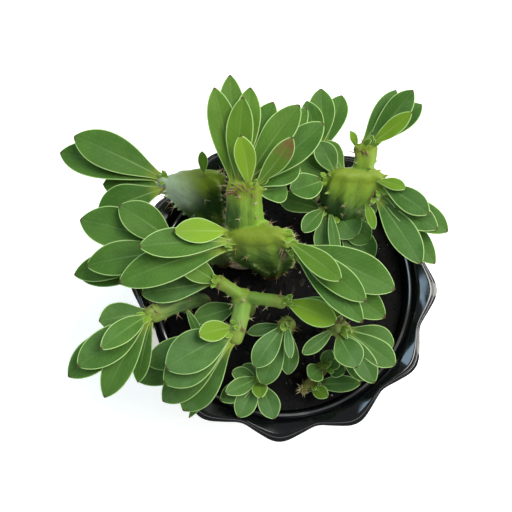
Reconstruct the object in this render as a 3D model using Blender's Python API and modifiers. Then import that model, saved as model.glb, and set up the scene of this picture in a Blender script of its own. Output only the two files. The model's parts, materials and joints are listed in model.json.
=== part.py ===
"""Potted african milk tree: crested euphorbia stems in a black pot with a scalloped rim.

The origin is at the centre of the pot's flat foot, with Z up, X to the right and Y to the back.
Sizes and places are in millimetres and angles in degrees. A mesh is turned into metres as it is made.
"""

import math

import bmesh
import bpy
import numpy as np
from mathutils import Matrix, Vector
from mathutils.bvhtree import BVHTree

COLLECTION = "potted_african_milk_tree"
MM = 0.001
GAP = 0.3
UP = Vector((0.0, 0.0, 1.0))

# Pot: a tapered round body with a thin flared lip, pressed into lobes.
POT_HEIGHT = 140.0
FOOT_RADIUS = 62.0
NECK_RADIUS = 85.5
NECK_HEIGHT = 131.0
CREST_RADIUS = 93.0
RIM_RADIUS = 98.0
POT_WALL = 1.6
POT_FLOOR = 3.0
LOBES = 12
LOBE_DEPTH = 3.3
LOBE_TURN = -2.0
STEPS_PER_LOBE = 5
DRAIN_COUNT = 4
DRAIN_RADIUS = 5.0
DRAIN_CIRCLE = 34.0

# Soil: a filled plug with a low crown and one plain hole for each stem.
SOIL_EDGE = 118.0
SOIL_CROWN = 121.0
HOLE_DEPTH = 26.0

# Stems: each limb is a run of oval sections with ribs along it, more of them on the wide ones.
LIMB_STEP = 16.0
LEAST_RIBS = 2.5
RIB_SPACING = 3.0
RIB_DEPTH = 0.12
FOOT_RISE = 8.0

# Leaves: spoon-shaped blades, folded a little along the rib and bowed along their length.
CELL_LENGTH = 14.0
BLADE_THICKNESS = 1.2
ROOT_SINK = 3.5
ROOT_SHARE = 0.2
TIP_SHARE = 0.07
WIDEST_AT = 0.66
FOLD = 0.22
BOW = 0.05
SEAT_CLIMB = 0.15

# Spines: three-sided cones, one at each leaf's root and a row along each limb.
SPINE_LENGTH = 4.5
SPINE_RADIUS = 0.6
SPINE_SINK = 1.2
LEAST_SPINY_LEAF = 34.0

# A stem is its foot (x, y, radius), its limbs and its tufts.
# A limb is a list of sections: x, y, z, half width, half thickness, bearing of the width.
# A tuft is two ends of the edge that its leaves stand on, and the leaves, spaced evenly along it.
# A leaf is its bearing, rise, length, width and roll about its own length.
STEMS = {
    "centre_crest": {
        "foot": (-8, 14, 9),
        "limbs": [
            [(-8, 14, 123, 9, 9, 0), (-9, 14, 148, 15, 9, 0), (-12, 15, 170, 21, 10, 0),
             (-15, 17, 189, 23, 10, -3), (-17, 20, 202, 20, 7, -4)],
            [(-23, 18, 180, 11, 7, 0), (-25, 27, 198, 12.5, 8, 0), (-25, 37, 213, 11, 7, 0),
             (-25, 43, 222, 11, 5, 0)],
        ],
        "tufts": [
            ((-38, 18, 201), (-46, 7, 196),
             [(172, 30, 29, 15, 0), (-177, 22, 46, 18, 0), (-162, 8, 56, 22, 0)]),
            ((4, 14, 201), (1, 4, 196),
             [(-41, 30, 39, 14, 0), (-21, 2, 64, 23, 0), (-35, 16, 53, 17, 0), (-43, 10, 57, 17, 0),
              (-29, -6, 66, 22, 0)]),
            ((-34, 46, 224), (-16, 44, 222),
             [(99, 22, 53, 16, 0), (91, 8, 62, 16, 0), (83, 30, 48, 15, 0), (82, 12, 55, 15, 0),
              (69, 0, 54, 15, 0), (53, 14, 55, 17, 0), (54, -8, 62, 16, 0), (39, 6, 56, 18, 0),
              (26, -6, 32, 17, 0), (108, 48, 32, 12, 0), (48, 34, 36, 13, 40), (8, -24, 19, 18, 0)]),
            ((-6, 23, 202), (-5, 24, 202), [(-28, 10, 11, 9, 0)]),
        ],
    },
    "left_stem": {
        "foot": (-40, 20, 6.5),
        "limbs": [
            [(-40, 20, 123, 6.5, 6.5, 90), (-44, 19, 148, 7, 6, 90), (-54, 16, 172, 8, 6, 90),
             (-63, 15, 181, 9, 5, 90)],
        ],
        "tufts": [
            ((-67, 18, 184), (-67, 11, 182),
             [(146, 18, 41, 21, 0), (164, 6, 60, 25, 0), (-169, 6, 54, 21, 0), (-170, -8, 66, 18, 0),
              (-168, -12, 62, 18, 0)]),
        ],
    },
    "back_left_crest": {
        "foot": (-46, 40, 8),
        "limbs": [
            [(-46, 40, 123, 8, 8, 0), (-48, 44, 148, 12, 8, 0), (-54, 52, 170, 18, 9, 0),
             (-57, 57, 183, 21, 9, 0)],
        ],
        "tufts": [
            ((-77, 61, 188), (-78, 56, 184),
             [(157, 12, 56, 23, 0), (165, 0, 64, 22, 0), (179, -12, 37, 18, 0), (-152, -6, 43, 24, 0)]),
            ((-50, 59, 188), (-49, 60, 188), [(95, 25, 15, 6, 0)]),
        ],
    },
    "front_fork": {
        "foot": (-25, -14, 7),
        "limbs": [
            [(-25, -14, 123, 7, 7, 0), (-25, -14, 145, 6.5, 6.5, 0), (-26, -12, 166, 7, 6, 0)],
            [(-26, -12, 165, 5, 4.5, 59), (-33, -8, 173, 4, 4, 59), (-40, -4, 177, 4.5, 4, 59)],
            [(-26, -12, 165, 5, 4.5, 81), (-13, -14, 174, 4, 4, 81), (-3, -16, 178, 4.5, 4, 81)],
            [(-26, -13, 164, 6, 5.5, -10), (-28, -26, 172, 5.5, 5, -10), (-31, -37, 173, 5.5, 4.5, -10)],
        ],
        "tufts": [
            ((-41, -2, 180), (-44, -5, 178), [(157, 30, 28, 15, 0), (-171, 4, 45, 17, 0)]),
            ((-1, -14, 180), (0, -18, 178), [(-12, 6, 37, 14, 0), (-24, 22, 35, 16, 0)]),
            ((-30, -30, 176), (-35, -43, 170),
             [(-162, 34, 27, 13, 0), (-149, 14, 48, 25, 0), (-143, 4, 52, 23, 0),
              (-163, -14, 58, 19, 0), (-158, -22, 71, 19, 0), (-139, -12, 58, 21, 0),
              (-125, -12, 51, 21, 0), (-120, -18, 53, 7, 0)]),
            ((-33, -15, 148), (-34, -15, 148), [(-160, 4, 26, 15, 0)]),
        ],
    },
    "front_left_stem": {
        "foot": (-54, -10, 6),
        "limbs": [
            [(-54, -10, 123, 6, 6, 117), (-56, -11, 145, 5.5, 5.5, 117), (-66, -16, 165, 5, 5, 117),
             (-80, -23, 174, 5.5, 4.5, 117)],
        ],
        "tufts": [
            ((-80, -17, 176), (-87, -30, 174),
             [(-162, 10, 34, 18, 0), (-135, 28, 42, 14, 0), (-140, 12, 54, 22, 0),
              (-142, -2, 61, 21, 0), (-141, 4, 49, 18, 0), (-117, 2, 52, 18, 0), (-96, -8, 36, 11, 0)]),
            ((-63, -19, 160), (-64, -20, 160), [(-58, -12, 20, 6, 0)]),
        ],
    },
    "right_crest": {
        "foot": (40, 40, 8.5),
        "limbs": [
            [(40, 40, 123, 8.5, 8.5, 0), (41, 42, 146, 12, 10, 0), (42, 46, 165, 18, 12, 0),
             (42, 53, 181, 21, 10, 4), (43, 59, 190, 19, 6, 4)],
            [(46, 60, 184, 7, 5, 6), (48, 68, 195, 7, 5, 6), (48, 74, 199, 8, 4, 6)],
        ],
        "tufts": [
            ((21, 54, 184), (36, 67, 188),
             [(-158, 30, 25, 17, 0), (146, 5, 22, 15, 0), (124, 25, 22, 14, 0), (124, 20, 19, 11, 0)]),
            ((20, 48, 164), (38, 41, 164),
             [(-118, 25, 25, 11, 0), (-88, 5, 32, 15, 0), (-83, 20, 38, 7, 0), (-53, 15, 24, 20, 0),
              (-54, -2, 38, 20, 0), (-47, 2, 25, 17, 0)]),
            ((21, 50, 158), (20, 50, 158), [(170, -2, 24, 14, 0)]),
            ((40, 73, 199), (54, 76, 201),
             [(115, 35, 11, 5, 0), (57, 16, 40, 13, 0), (47, 22, 43, 15, 0), (36, 14, 39, 15, 0),
              (34, 34, 29, 10, 0)]),
            ((59, 59, 190), (55, 37, 180),
             [(-34, 28, 17, 8, 0), (-38, 18, 35, 15, 0), (-33, 4, 48, 18, 0), (-33, 10, 41, 17, 0),
              (-60, 12, 48, 18, 0), (-43, -4, 50, 17, 0), (-99, 25, 14, 6, 0)]),
        ],
    },
    "back_right_stem": {
        "foot": (20, 64, 6),
        "limbs": [
            [(20, 64, 123, 6, 6, 0), (20, 67, 148, 6, 6, 0), (22, 77, 174, 8, 5, 0)],
        ],
        "tufts": [
            ((18, 81, 178), (26, 81, 178), [(103, 20, 29, 15, 0), (89, 10, 37, 17, 0), (71, 4, 36, 15, 0)]),
        ],
    },
    "front_right_stem": {
        "foot": (32, -26, 6),
        "limbs": [
            [(32, -26, 123, 6, 6, 0), (33, -27, 145, 7, 6, 0), (34, -31, 163, 8, 6, 0)],
        ],
        "tufts": [
            ((29, -30, 168), (39, -32, 166),
             [(-139, 4, 26, 9, 0), (-65, 12, 28, 18, 0), (-59, 6, 40, 15, 0), (-65, -10, 36, 16, 0),
              (-37, 8, 38, 16, 0), (-18, -4, 31, 16, 0)]),
        ],
    },
    "front_stem": {
        "foot": (3, -28, 5),
        "limbs": [[(3, -28, 123, 5, 5, 0), (2, -28, 150, 5, 5, 0), (1, -28, 164, 6, 5, 0)]],
        "tufts": [
            ((-2, -29, 168), (4, -29, 167),
             [(-124, 4, 32, 15, 0), (-111, -10, 40, 16, 0), (-89, -18, 32, 12, 0), (-91, 14, 22, 6, 0)]),
            ((-2, -29, 147), (-2, -30, 147), [(-172, 5, 22, 8, 0)]),
        ],
    },
    "low_front_stem": {
        "foot": (-14, -56, 5),
        "limbs": [[(-14, -56, 123, 5, 5, 0), (-15, -58, 132, 5, 5, 0), (-16, -61, 144, 6, 4, 0)]],
        "tufts": [
            ((-14, -57, 150), (-18, -66, 146),
             [(163, 10, 14, 10, 0), (175, 14, 19, 10, 0), (-154, 20, 25, 11, 0), (-151, 2, 28, 13, 0),
              (-119, 6, 26, 14, 0), (-64, 8, 25, 14, 0), (-71, 45, 12, 10, 0)]),
        ],
    },
    "front_offset": {
        "foot": (24, -55, 5),
        "limbs": [
            [(24, -55, 123, 5, 5, 0), (25, -54, 130, 5, 4, 0), (26, -53, 137, 5, 4, 0)],
            [(23, -57, 124, 4, 4, 60), (18, -63, 127, 4, 4, 60), (14, -67, 128, 4, 4, 60)],
        ],
        "tufts": [
            ((25, -54, 140), (28, -51, 142),
             [(-142, 20, 13, 13, 0), (32, 25, 11, 12, 0), (75, 30, 11, 9, 0), (-28, 8, 13, 12, 0)]),
            ((19, -66, 128), (21, -64, 128), [(-38, 30, 13, 9, 0), (1, 25, 31, 11, 0)]),
        ],
    },
}


def remove_everything():
    """Clear the scene's objects."""
    for item in list(bpy.data.objects):
        bpy.data.objects.remove(item, do_unlink=True)


def heading(bearing, rise):
    """Unit vector at a bearing from X and a rise from level."""
    turn = math.radians(bearing)
    lift = math.radians(rise)
    return Vector((math.cos(turn) * math.cos(lift), math.sin(turn) * math.cos(lift), math.sin(lift)))


def finish(name, colour, roughness):
    """Principled material of one colour."""
    material = bpy.data.materials.new(name)
    material.use_nodes = True
    shader = material.node_tree.nodes["Principled BSDF"]
    shader.inputs["Base Color"].default_value = (*colour, 1.0)
    shader.inputs["Roughness"].default_value = roughness
    shader.inputs["Metallic"].default_value = 0.0
    return material


def as_object(name, bm, collection):
    """Object holding a millimetre mesh, scaled to metres."""
    bmesh.ops.scale(bm, vec=(MM, MM, MM), verts=bm.verts)
    mesh = bpy.data.meshes.new(name)
    bm.to_mesh(mesh)
    bm.free()
    item = bpy.data.objects.new(name, mesh)
    collection.objects.link(item)
    return item


def ribs_for(half_width):
    """Number of ribs round a section of this half width."""
    return round(LEAST_RIBS + half_width / RIB_SPACING)


def evaluated_mesh(item):
    """The object's mesh with its modifiers applied."""
    bpy.context.view_layer.update()
    depsgraph = bpy.context.evaluated_depsgraph_get()
    return bpy.data.meshes.new_from_object(item.evaluated_get(depsgraph))


def wall_radius(height):
    """Radius of the pot's outer wall between its foot and its neck."""
    return FOOT_RADIUS + (NECK_RADIUS - FOOT_RADIUS) * height / NECK_HEIGHT


def turned(name, profile, collection):
    """Closed solid of revolution from a profile that starts and ends on the axis."""
    bm = bmesh.new()
    points = [bm.verts.new((radius, 0.0, height)) for radius, height in profile]
    for start, end in zip(points, points[1:]):
        bm.edges.new((start, end))
    item = as_object(name, bm, collection)
    screw = item.modifiers.new("turn", "SCREW")
    screw.steps = LOBES * STEPS_PER_LOBE
    screw.render_steps = screw.steps
    screw.use_merge_vertices = True
    screw.merge_threshold = 0.00001
    item.data = evaluated_mesh(item)
    item.modifiers.clear()
    return item


def pot_profile():
    """Up the inside from the floor's centre, over the lip, and down the outside to the foot."""
    inner_foot = wall_radius(POT_FLOOR) - POT_WALL
    return [
        (0.0, POT_FLOOR),
        (inner_foot, POT_FLOOR),
        (NECK_RADIUS - POT_WALL, NECK_HEIGHT),
        (NECK_RADIUS + 0.8, NECK_HEIGHT + 3.6),
        (NECK_RADIUS + 2.8, POT_HEIGHT - 2.4),
        (CREST_RADIUS, POT_HEIGHT),
        (RIM_RADIUS, POT_HEIGHT - 3.0),
        (RIM_RADIUS - 1.8, POT_HEIGHT - 3.2),
        (CREST_RADIUS, POT_HEIGHT - POT_WALL),
        (NECK_RADIUS + 3.4, POT_HEIGHT - 4.4),
        (NECK_RADIUS, NECK_HEIGHT),
        (FOOT_RADIUS, 1.5),
        (FOOT_RADIUS - 1.5, 0.0),
        (0.0, 0.0),
    ]


def press_lobes(item):
    """Press the lip into lobes that start above the neck and are full at the rim."""
    for vertex in item.data.vertices:
        place = vertex.co / MM
        radius = math.hypot(place.x, place.y)
        share = (radius - NECK_RADIUS) / (RIM_RADIUS - NECK_RADIUS)
        if share > 0.0 and place.z > NECK_HEIGHT:
            turn = math.atan2(place.y, place.x) - math.radians(LOBE_TURN)
            push = LOBE_DEPTH * min(share, 1.0) * math.cos(LOBES * turn)
            vertex.co.x *= 1.0 + push / radius
            vertex.co.y *= 1.0 + push / radius


def add_cutter(name, radius, place, depth, sides, cutters):
    """Upright prism that cuts a round hole down from a place."""
    bm = bmesh.new()
    middle = Vector(place) - UP * depth / 2
    bmesh.ops.create_cone(bm, cap_ends=True, segments=sides, radius1=radius, radius2=radius,
                          depth=depth, matrix=Matrix.Translation(middle))
    item = as_object(name, bm, cutters)
    item.hide_render = True
    item.display_type = "WIRE"
    return item


def cut_with(item, cutters):
    """Take every cutter in a collection out of an object, and apply the cut."""
    cut = item.modifiers.new("cut", "BOOLEAN")
    cut.operation = "DIFFERENCE"
    cut.operand_type = "COLLECTION"
    cut.collection = cutters
    item.data = evaluated_mesh(item)
    item.modifiers.clear()


def make_pot(parts):
    """Black plastic pot with four drain holes round the middle of its floor."""
    item = turned("pot", pot_profile(), parts)
    press_lobes(item)
    cutters = new_collection("drain_cutters", bpy.context.scene.collection)
    for index in range(DRAIN_COUNT):
        spot = heading(45 + 360 * index / DRAIN_COUNT, 0) * DRAIN_CIRCLE + UP * 2 * POT_FLOOR
        add_cutter(f"drain_{index}", DRAIN_RADIUS, spot, 3 * POT_FLOOR, 12, cutters)
    cut_with(item, cutters)
    item.data.materials.append(finish("black_plastic", (0.012, 0.013, 0.015), 0.25))
    item.data.shade_smooth()
    item.data.set_sharp_from_angle(angle=math.radians(35))


def make_soil(parts):
    """Plug of potting soil a gap inside the pot, with a hole for each stem's foot."""
    low = POT_FLOOR + GAP
    inset = POT_WALL + GAP
    profile = [
        (0.0, SOIL_CROWN),
        (45.0, SOIL_CROWN - 0.6),
        (wall_radius(SOIL_EDGE) - inset, SOIL_EDGE),
        (wall_radius(low) - inset, low),
        (0.0, low),
    ]
    item = turned("soil", profile, parts)
    cutters = new_collection("hole_cutters", bpy.context.scene.collection)
    for name, stem in STEMS.items():
        x, y, radius = stem["foot"]
        top = (x, y, SOIL_CROWN + 2 * GAP)
        add_cutter(name + "_hole", radius + GAP, top, HOLE_DEPTH + 3 * GAP, 2 * ribs_for(radius), cutters)
    cut_with(item, cutters)
    item.data.materials.append(finish("potting_soil", (0.022, 0.017, 0.014), 0.95))


def smooth_sections(sections, step):
    """Sections read off one smooth curve through the given ones, about a step apart."""
    rows = np.array(sections, dtype=float)
    padded = np.vstack([rows[:1], rows, rows[-1:]])
    result = []
    for before, start, end, after in zip(padded, padded[1:], padded[2:], padded[3:]):
        count = max(1, round(float(np.linalg.norm(end[:3] - start[:3])) / step))
        for index in range(count):
            u = index / count
            result.append(0.5 * (2 * start + (end - before) * u
                                 + (2 * before - 5 * start + 4 * end - after) * u ** 2
                                 + (3 * start - before - 3 * end + after) * u ** 3))
    result.append(rows[-1])
    return result


def limb_rings(sections):
    """Rings of points round each section, with two closing ones that round the limb's end."""
    rows = smooth_sections(sections, LIMB_STEP)
    centres = [Vector(row[:3]) for row in rows]
    rings = []
    for index, row in enumerate(rows):
        ahead = centres[min(index + 1, len(rows) - 1)]
        behind = centres[max(index - 1, 0)]
        along = (ahead - behind).normalized()
        wide = heading(row[5], 0)
        wide = (wide - along * wide.dot(along)).normalized()
        thin = along.cross(wide)
        rings.append((centres[index], wide * row[3], thin * row[4]))
    centre, wide, thin = rings[-1]
    rings.append((centre + along * thin.length * 0.6, wide * 0.8, thin * 0.75))
    rings.append((centre + along * thin.length * 0.95, wide * 0.42, thin * 0.35))
    return rings


def ring_point(ring, ribs, turn):
    """Point of an oval ring at a turn from its wide axis, on or between its ribs."""
    centre, wide, thin = ring
    share = 1.0 - RIB_DEPTH * (0.5 - 0.5 * math.cos(ribs * turn))
    return centre + (wide * math.cos(turn) + thin * math.sin(turn)) * share


def limb(sections):
    """Closed loft through a limb's rings."""
    bm = bmesh.new()
    ribs = ribs_for(max(section[3] for section in sections))
    sides = 2 * ribs
    turns = [math.tau * index / sides for index in range(sides)]
    loops = []
    for ring in limb_rings(sections):
        loops.append([bm.verts.new(ring_point(ring, ribs, turn)) for turn in turns])
    for lower, upper in zip(loops, loops[1:]):
        for index in range(sides):
            following = (index + 1) % sides
            bm.faces.new((lower[index], lower[following], upper[following], upper[index]))
    bm.faces.new(reversed(loops[0]))
    bm.faces.new(loops[-1])
    bmesh.ops.triangulate(bm, faces=bm.faces)
    return bm


def blade_share(t):
    """Share of a leaf's half width at t along it: a narrow root, a broad end and a short point."""
    if t < WIDEST_AT:
        swell = math.sin(math.pi / 2 * (t / WIDEST_AT) ** 1.1) ** 1.25
    else:
        swell = 1.0 - ((t - WIDEST_AT) / (1.0 - WIDEST_AT)) ** 2.1
    return max(swell, ROOT_SHARE * (1.0 - t), TIP_SHARE)


def blade(root, tip, width, roll):
    """Open leaf surface from root to tip, split into triangles."""
    span = tip - root
    cells = max(3, round(span.length / CELL_LENGTH))
    bm = bmesh.new()
    bmesh.ops.create_grid(bm, x_segments=2, y_segments=cells, size=1.0)
    along = span.normalized()
    side = Matrix.Rotation(math.radians(roll), 3, along) @ along.cross(UP).normalized()
    lift = side.cross(along)
    for vertex in bm.verts:
        t = math.sin((vertex.co.y + 1.0) * math.pi / 4) ** 1.2
        reach = 0.5 * width * blade_share(min(t, 1.0))
        rise = FOLD * abs(vertex.co.x) * reach + BOW * span.length * 4 * t * (1.0 - t)
        vertex.co = root + span * t + side * vertex.co.x * reach + lift * rise
    bmesh.ops.triangulate(bm, faces=bm.faces)
    return bm


def add_spine(place, aim, pieces):
    """Cone from just under the skin at a place."""
    bm = bmesh.new()
    turn = UP.rotation_difference(aim).to_matrix().to_4x4()
    length = SPINE_LENGTH + SPINE_SINK
    middle = place + aim * (length / 2 - SPINE_SINK)
    bmesh.ops.create_cone(bm, cap_ends=True, segments=3, radius1=SPINE_RADIUS, radius2=0.0,
                          depth=length, matrix=Matrix.Translation(middle) @ turn)
    bmesh.ops.remove_doubles(bm, verts=bm.verts, dist=0.01)
    as_object("spine", bm, pieces)


def add_limb_spines(sections, pieces):
    """Two spines a section on opposite ribs, a quarter turn further round at each section."""
    ribs = ribs_for(max(section[3] for section in sections))
    for index, ring in enumerate(limb_rings(sections)[1:-1]):
        for side in (0, 1):
            rib = round(ribs * (side / 2 + index / 4))
            place = ring_point(ring, ribs, math.tau * rib / ribs)
            aim = (place - ring[0]).normalized() + UP * 0.3
            if place.z > SOIL_CROWN + FOOT_RISE + SPINE_LENGTH:
                add_spine(place, aim.normalized(), pieces)


def add_tuft(tuft, skin, pieces):
    """Leaves along an edge, each rooted in the nearest skin of the stem, with a spine below it.

    A leaf that rises more stands a little higher on the edge.
    """
    start, end, leaves = tuft
    for index, (bearing, rise, length, width, roll) in enumerate(leaves):
        share = (index + 0.5) / len(leaves)
        spot = Vector(start).lerp(Vector(end), share) + UP * SEAT_CLIMB * rise
        tip = spot + heading(bearing, rise) * length
        seat, normal = skin.find_nearest(spot)[:2]
        item = as_object("leaf", blade(seat - normal * ROOT_SINK, tip, width, roll), pieces)
        shell = item.modifiers.new("thickness", "SOLIDIFY")
        shell.thickness = BLADE_THICKNESS * MM
        shell.offset = 0.0
        if length > LEAST_SPINY_LEAF:
            aim = heading(bearing, rise) * 0.4 + normal - UP * 0.6
            add_spine(seat, aim.normalized(), pieces)


def make_stem(name, stem, parts):
    """One leafy stem: its foot, limbs, leaves and spines in one closed body."""
    x, y, radius = stem["foot"]
    low = SOIL_CROWN - HOLE_DEPTH
    depth = HOLE_DEPTH + FOOT_RISE
    bm = bmesh.new()
    bmesh.ops.create_cone(bm, cap_ends=True, segments=2 * ribs_for(radius), radius1=radius,
                          radius2=radius, depth=depth, matrix=Matrix.Translation((x, y, low + depth / 2)))
    item = as_object(name, bm, parts)
    pieces = new_collection(name + "_pieces", bpy.context.scene.collection)
    whole = bmesh.new()
    for sections in stem["limbs"]:
        bm = limb(sections)
        loose = bpy.data.meshes.new("skin")
        bm.to_mesh(loose)
        whole.from_mesh(loose)
        bpy.data.meshes.remove(loose)
        as_object("limb", bm, pieces)
        add_limb_spines(sections, pieces)
    skin = BVHTree.FromBMesh(whole)
    whole.free()
    for tuft in stem["tufts"]:
        add_tuft(tuft, skin, pieces)
    union = item.modifiers.new("union", "BOOLEAN")
    union.operation = "UNION"
    union.operand_type = "COLLECTION"
    union.collection = pieces
    union.solver = "MANIFOLD"
    item.data = evaluated_mesh(item)
    item.modifiers.clear()
    for piece in list(pieces.objects):
        bpy.data.objects.remove(piece, do_unlink=True)
    bpy.data.collections.remove(pieces)
    drop_scraps(item.data)
    item.data.materials.clear()
    item.data.materials.append(finish(name + "_green", (0.13, 0.27, 0.05), 0.45))
    item.data.shade_smooth()
    item.data.set_sharp_from_angle(angle=math.radians(35))


def drop_scraps(mesh):
    """Keep a mesh's largest body and drop the crumbs that a union can leave beside it."""
    bm = bmesh.new()
    bm.from_mesh(mesh)
    waiting = set(bm.verts)
    bodies = []
    while waiting:
        body = {waiting.pop()}
        edge = list(body)
        while edge:
            near = {link.other_vert(vertex) for vertex in edge for link in vertex.link_edges}
            edge = list(near - body)
            body |= near
        waiting -= body
        bodies.append(body)
    largest = max(bodies, key=len)
    crumbs = [vertex for vertex in bm.verts if vertex not in largest]
    bmesh.ops.delete(bm, geom=crumbs, context="VERTS")
    bm.to_mesh(mesh)
    bm.free()


def new_collection(name, parent):
    """Collection under a parent collection."""
    collection = bpy.data.collections.new(name)
    parent.children.link(collection)
    return collection


def build():
    """The pot, its soil and the leafy stems."""
    remove_everything()
    parts = new_collection(COLLECTION, bpy.context.scene.collection)
    make_pot(parts)
    make_soil(parts)
    for name, stem in STEMS.items():
        make_stem(name, stem, parts)


build()
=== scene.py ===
"""Fine surfaces of a potted african milk tree: crested euphorbia stems in a glossy black pot.

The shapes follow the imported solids. Places and sizes in the tables are in millimetres and degrees,
and a mesh is turned into metres as it is made. The properties hold real lengths in metres.
"""

import json
import math
import random

import bmesh
import bpy
from bpy.props import FloatProperty, FloatVectorProperty, IntProperty, PointerProperty
from mathutils import Matrix, Quaternion, Vector, noise
from mathutils.bvhtree import BVHTree
from mathutils.kdtree import KDTree
import numpy as np

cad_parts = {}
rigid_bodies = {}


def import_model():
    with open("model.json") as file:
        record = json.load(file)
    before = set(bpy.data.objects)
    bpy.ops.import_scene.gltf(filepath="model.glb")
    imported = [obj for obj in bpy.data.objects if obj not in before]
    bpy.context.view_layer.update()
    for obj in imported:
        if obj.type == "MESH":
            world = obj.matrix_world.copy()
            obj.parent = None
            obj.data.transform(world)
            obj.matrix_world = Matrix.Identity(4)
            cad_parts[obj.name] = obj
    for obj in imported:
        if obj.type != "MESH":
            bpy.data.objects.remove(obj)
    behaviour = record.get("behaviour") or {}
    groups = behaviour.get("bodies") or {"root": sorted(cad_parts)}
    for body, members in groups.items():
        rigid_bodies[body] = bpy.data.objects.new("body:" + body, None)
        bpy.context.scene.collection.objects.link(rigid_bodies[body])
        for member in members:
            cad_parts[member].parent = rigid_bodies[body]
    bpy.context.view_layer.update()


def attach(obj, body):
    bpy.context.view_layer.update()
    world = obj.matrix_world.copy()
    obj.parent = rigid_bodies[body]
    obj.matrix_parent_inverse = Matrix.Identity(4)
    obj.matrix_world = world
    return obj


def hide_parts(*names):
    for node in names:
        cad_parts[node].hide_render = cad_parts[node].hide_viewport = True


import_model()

bl_info = {
    "name": "Potted African Milk Tree",
    "version": (1, 0, 0),
    "blender": (4, 5, 0),
    "location": "View3D > Sidebar > Milk Tree",
    "description": "Builds a potted crested african milk tree around its solids",
    "category": "Add Mesh",
}

MM = 0.001
UP = Vector((0.0, 0.0, 1.0))

# Pot, as its solid has it.
POT_HEIGHT = 140.0
FOOT_RADIUS = 62.0
NECK_RADIUS = 85.5
NECK_HEIGHT = 131.0
CREST_RADIUS = 93.0
RIM_RADIUS = 98.0
POT_WALL = 1.6
POT_FLOOR = 3.0
LOBES = 12
LOBE_DEPTH = 3.3
LOBE_TURN = -2.0
STEPS_PER_LOBE = 20
DRAIN_COUNT = 4
DRAIN_RADIUS = 5.0
DRAIN_CIRCLE = 34.0

# Soil, as its solid has it.
SOIL_EDGE = 118.0
SOIL_CROWN = 121.0
HOLE_DEPTH = 26.0
GAP = 0.3

# Limbs: the coarse skin places the leaves where the solids have them, and the fine one is shown.
COARSE_STEP = 16.0
SIDES_PER_RIB = 8
FINE_STEP = 2.0
COARSE_END = [(0.6, 0.8, 0.75), (0.95, 0.42, 0.35)]
FINE_END_RINGS = 7
LEAST_SPINY_LEAF = 34.0
LEAST_RIBS = 2.5
RIB_SPACING = 3.0
RIB_DEPTH = 0.12
FOOT_RISE = 8.0

# Skin: how far the marks on it reach, and the heights between which cork gives way to green.
EDGE_DEPTH = 15.0
SCAR_REACH = 1.1
TOOTH_REACH = 2.0
CORK_FULL = 130.0
CORK_TOP = 152.0

# Leaves: outline and set of the blades.
ROOT_SINK = 3.5
ROOT_SHARE = 0.22
WIDEST_AT = 0.66
FOLD = 0.22
BOW = 0.05
SEAT_CLIMB = 0.15
LEAF_STATIONS = 34
LEAF_ACROSS = [0.0, 0.14, 0.34, 0.55, 0.74, 0.88, 0.955, 1.0]
VEIN_SPACING = 3.4

# Once round a blade: the place across it from -1 to 1, over its upper face and back below.
LEAF_STEPS = [-value for value in LEAF_ACROSS[:0:-1]] + LEAF_ACROSS
LEAF_LOOP = [(s, 1.0) for s in LEAF_STEPS] + [(s, -1.0) for s in LEAF_STEPS[::-1]]

# Spines and scars.
SPINE_POINTS = 6
SPINE_SINK = 0.8
SCAR_POINTS = 9

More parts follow.
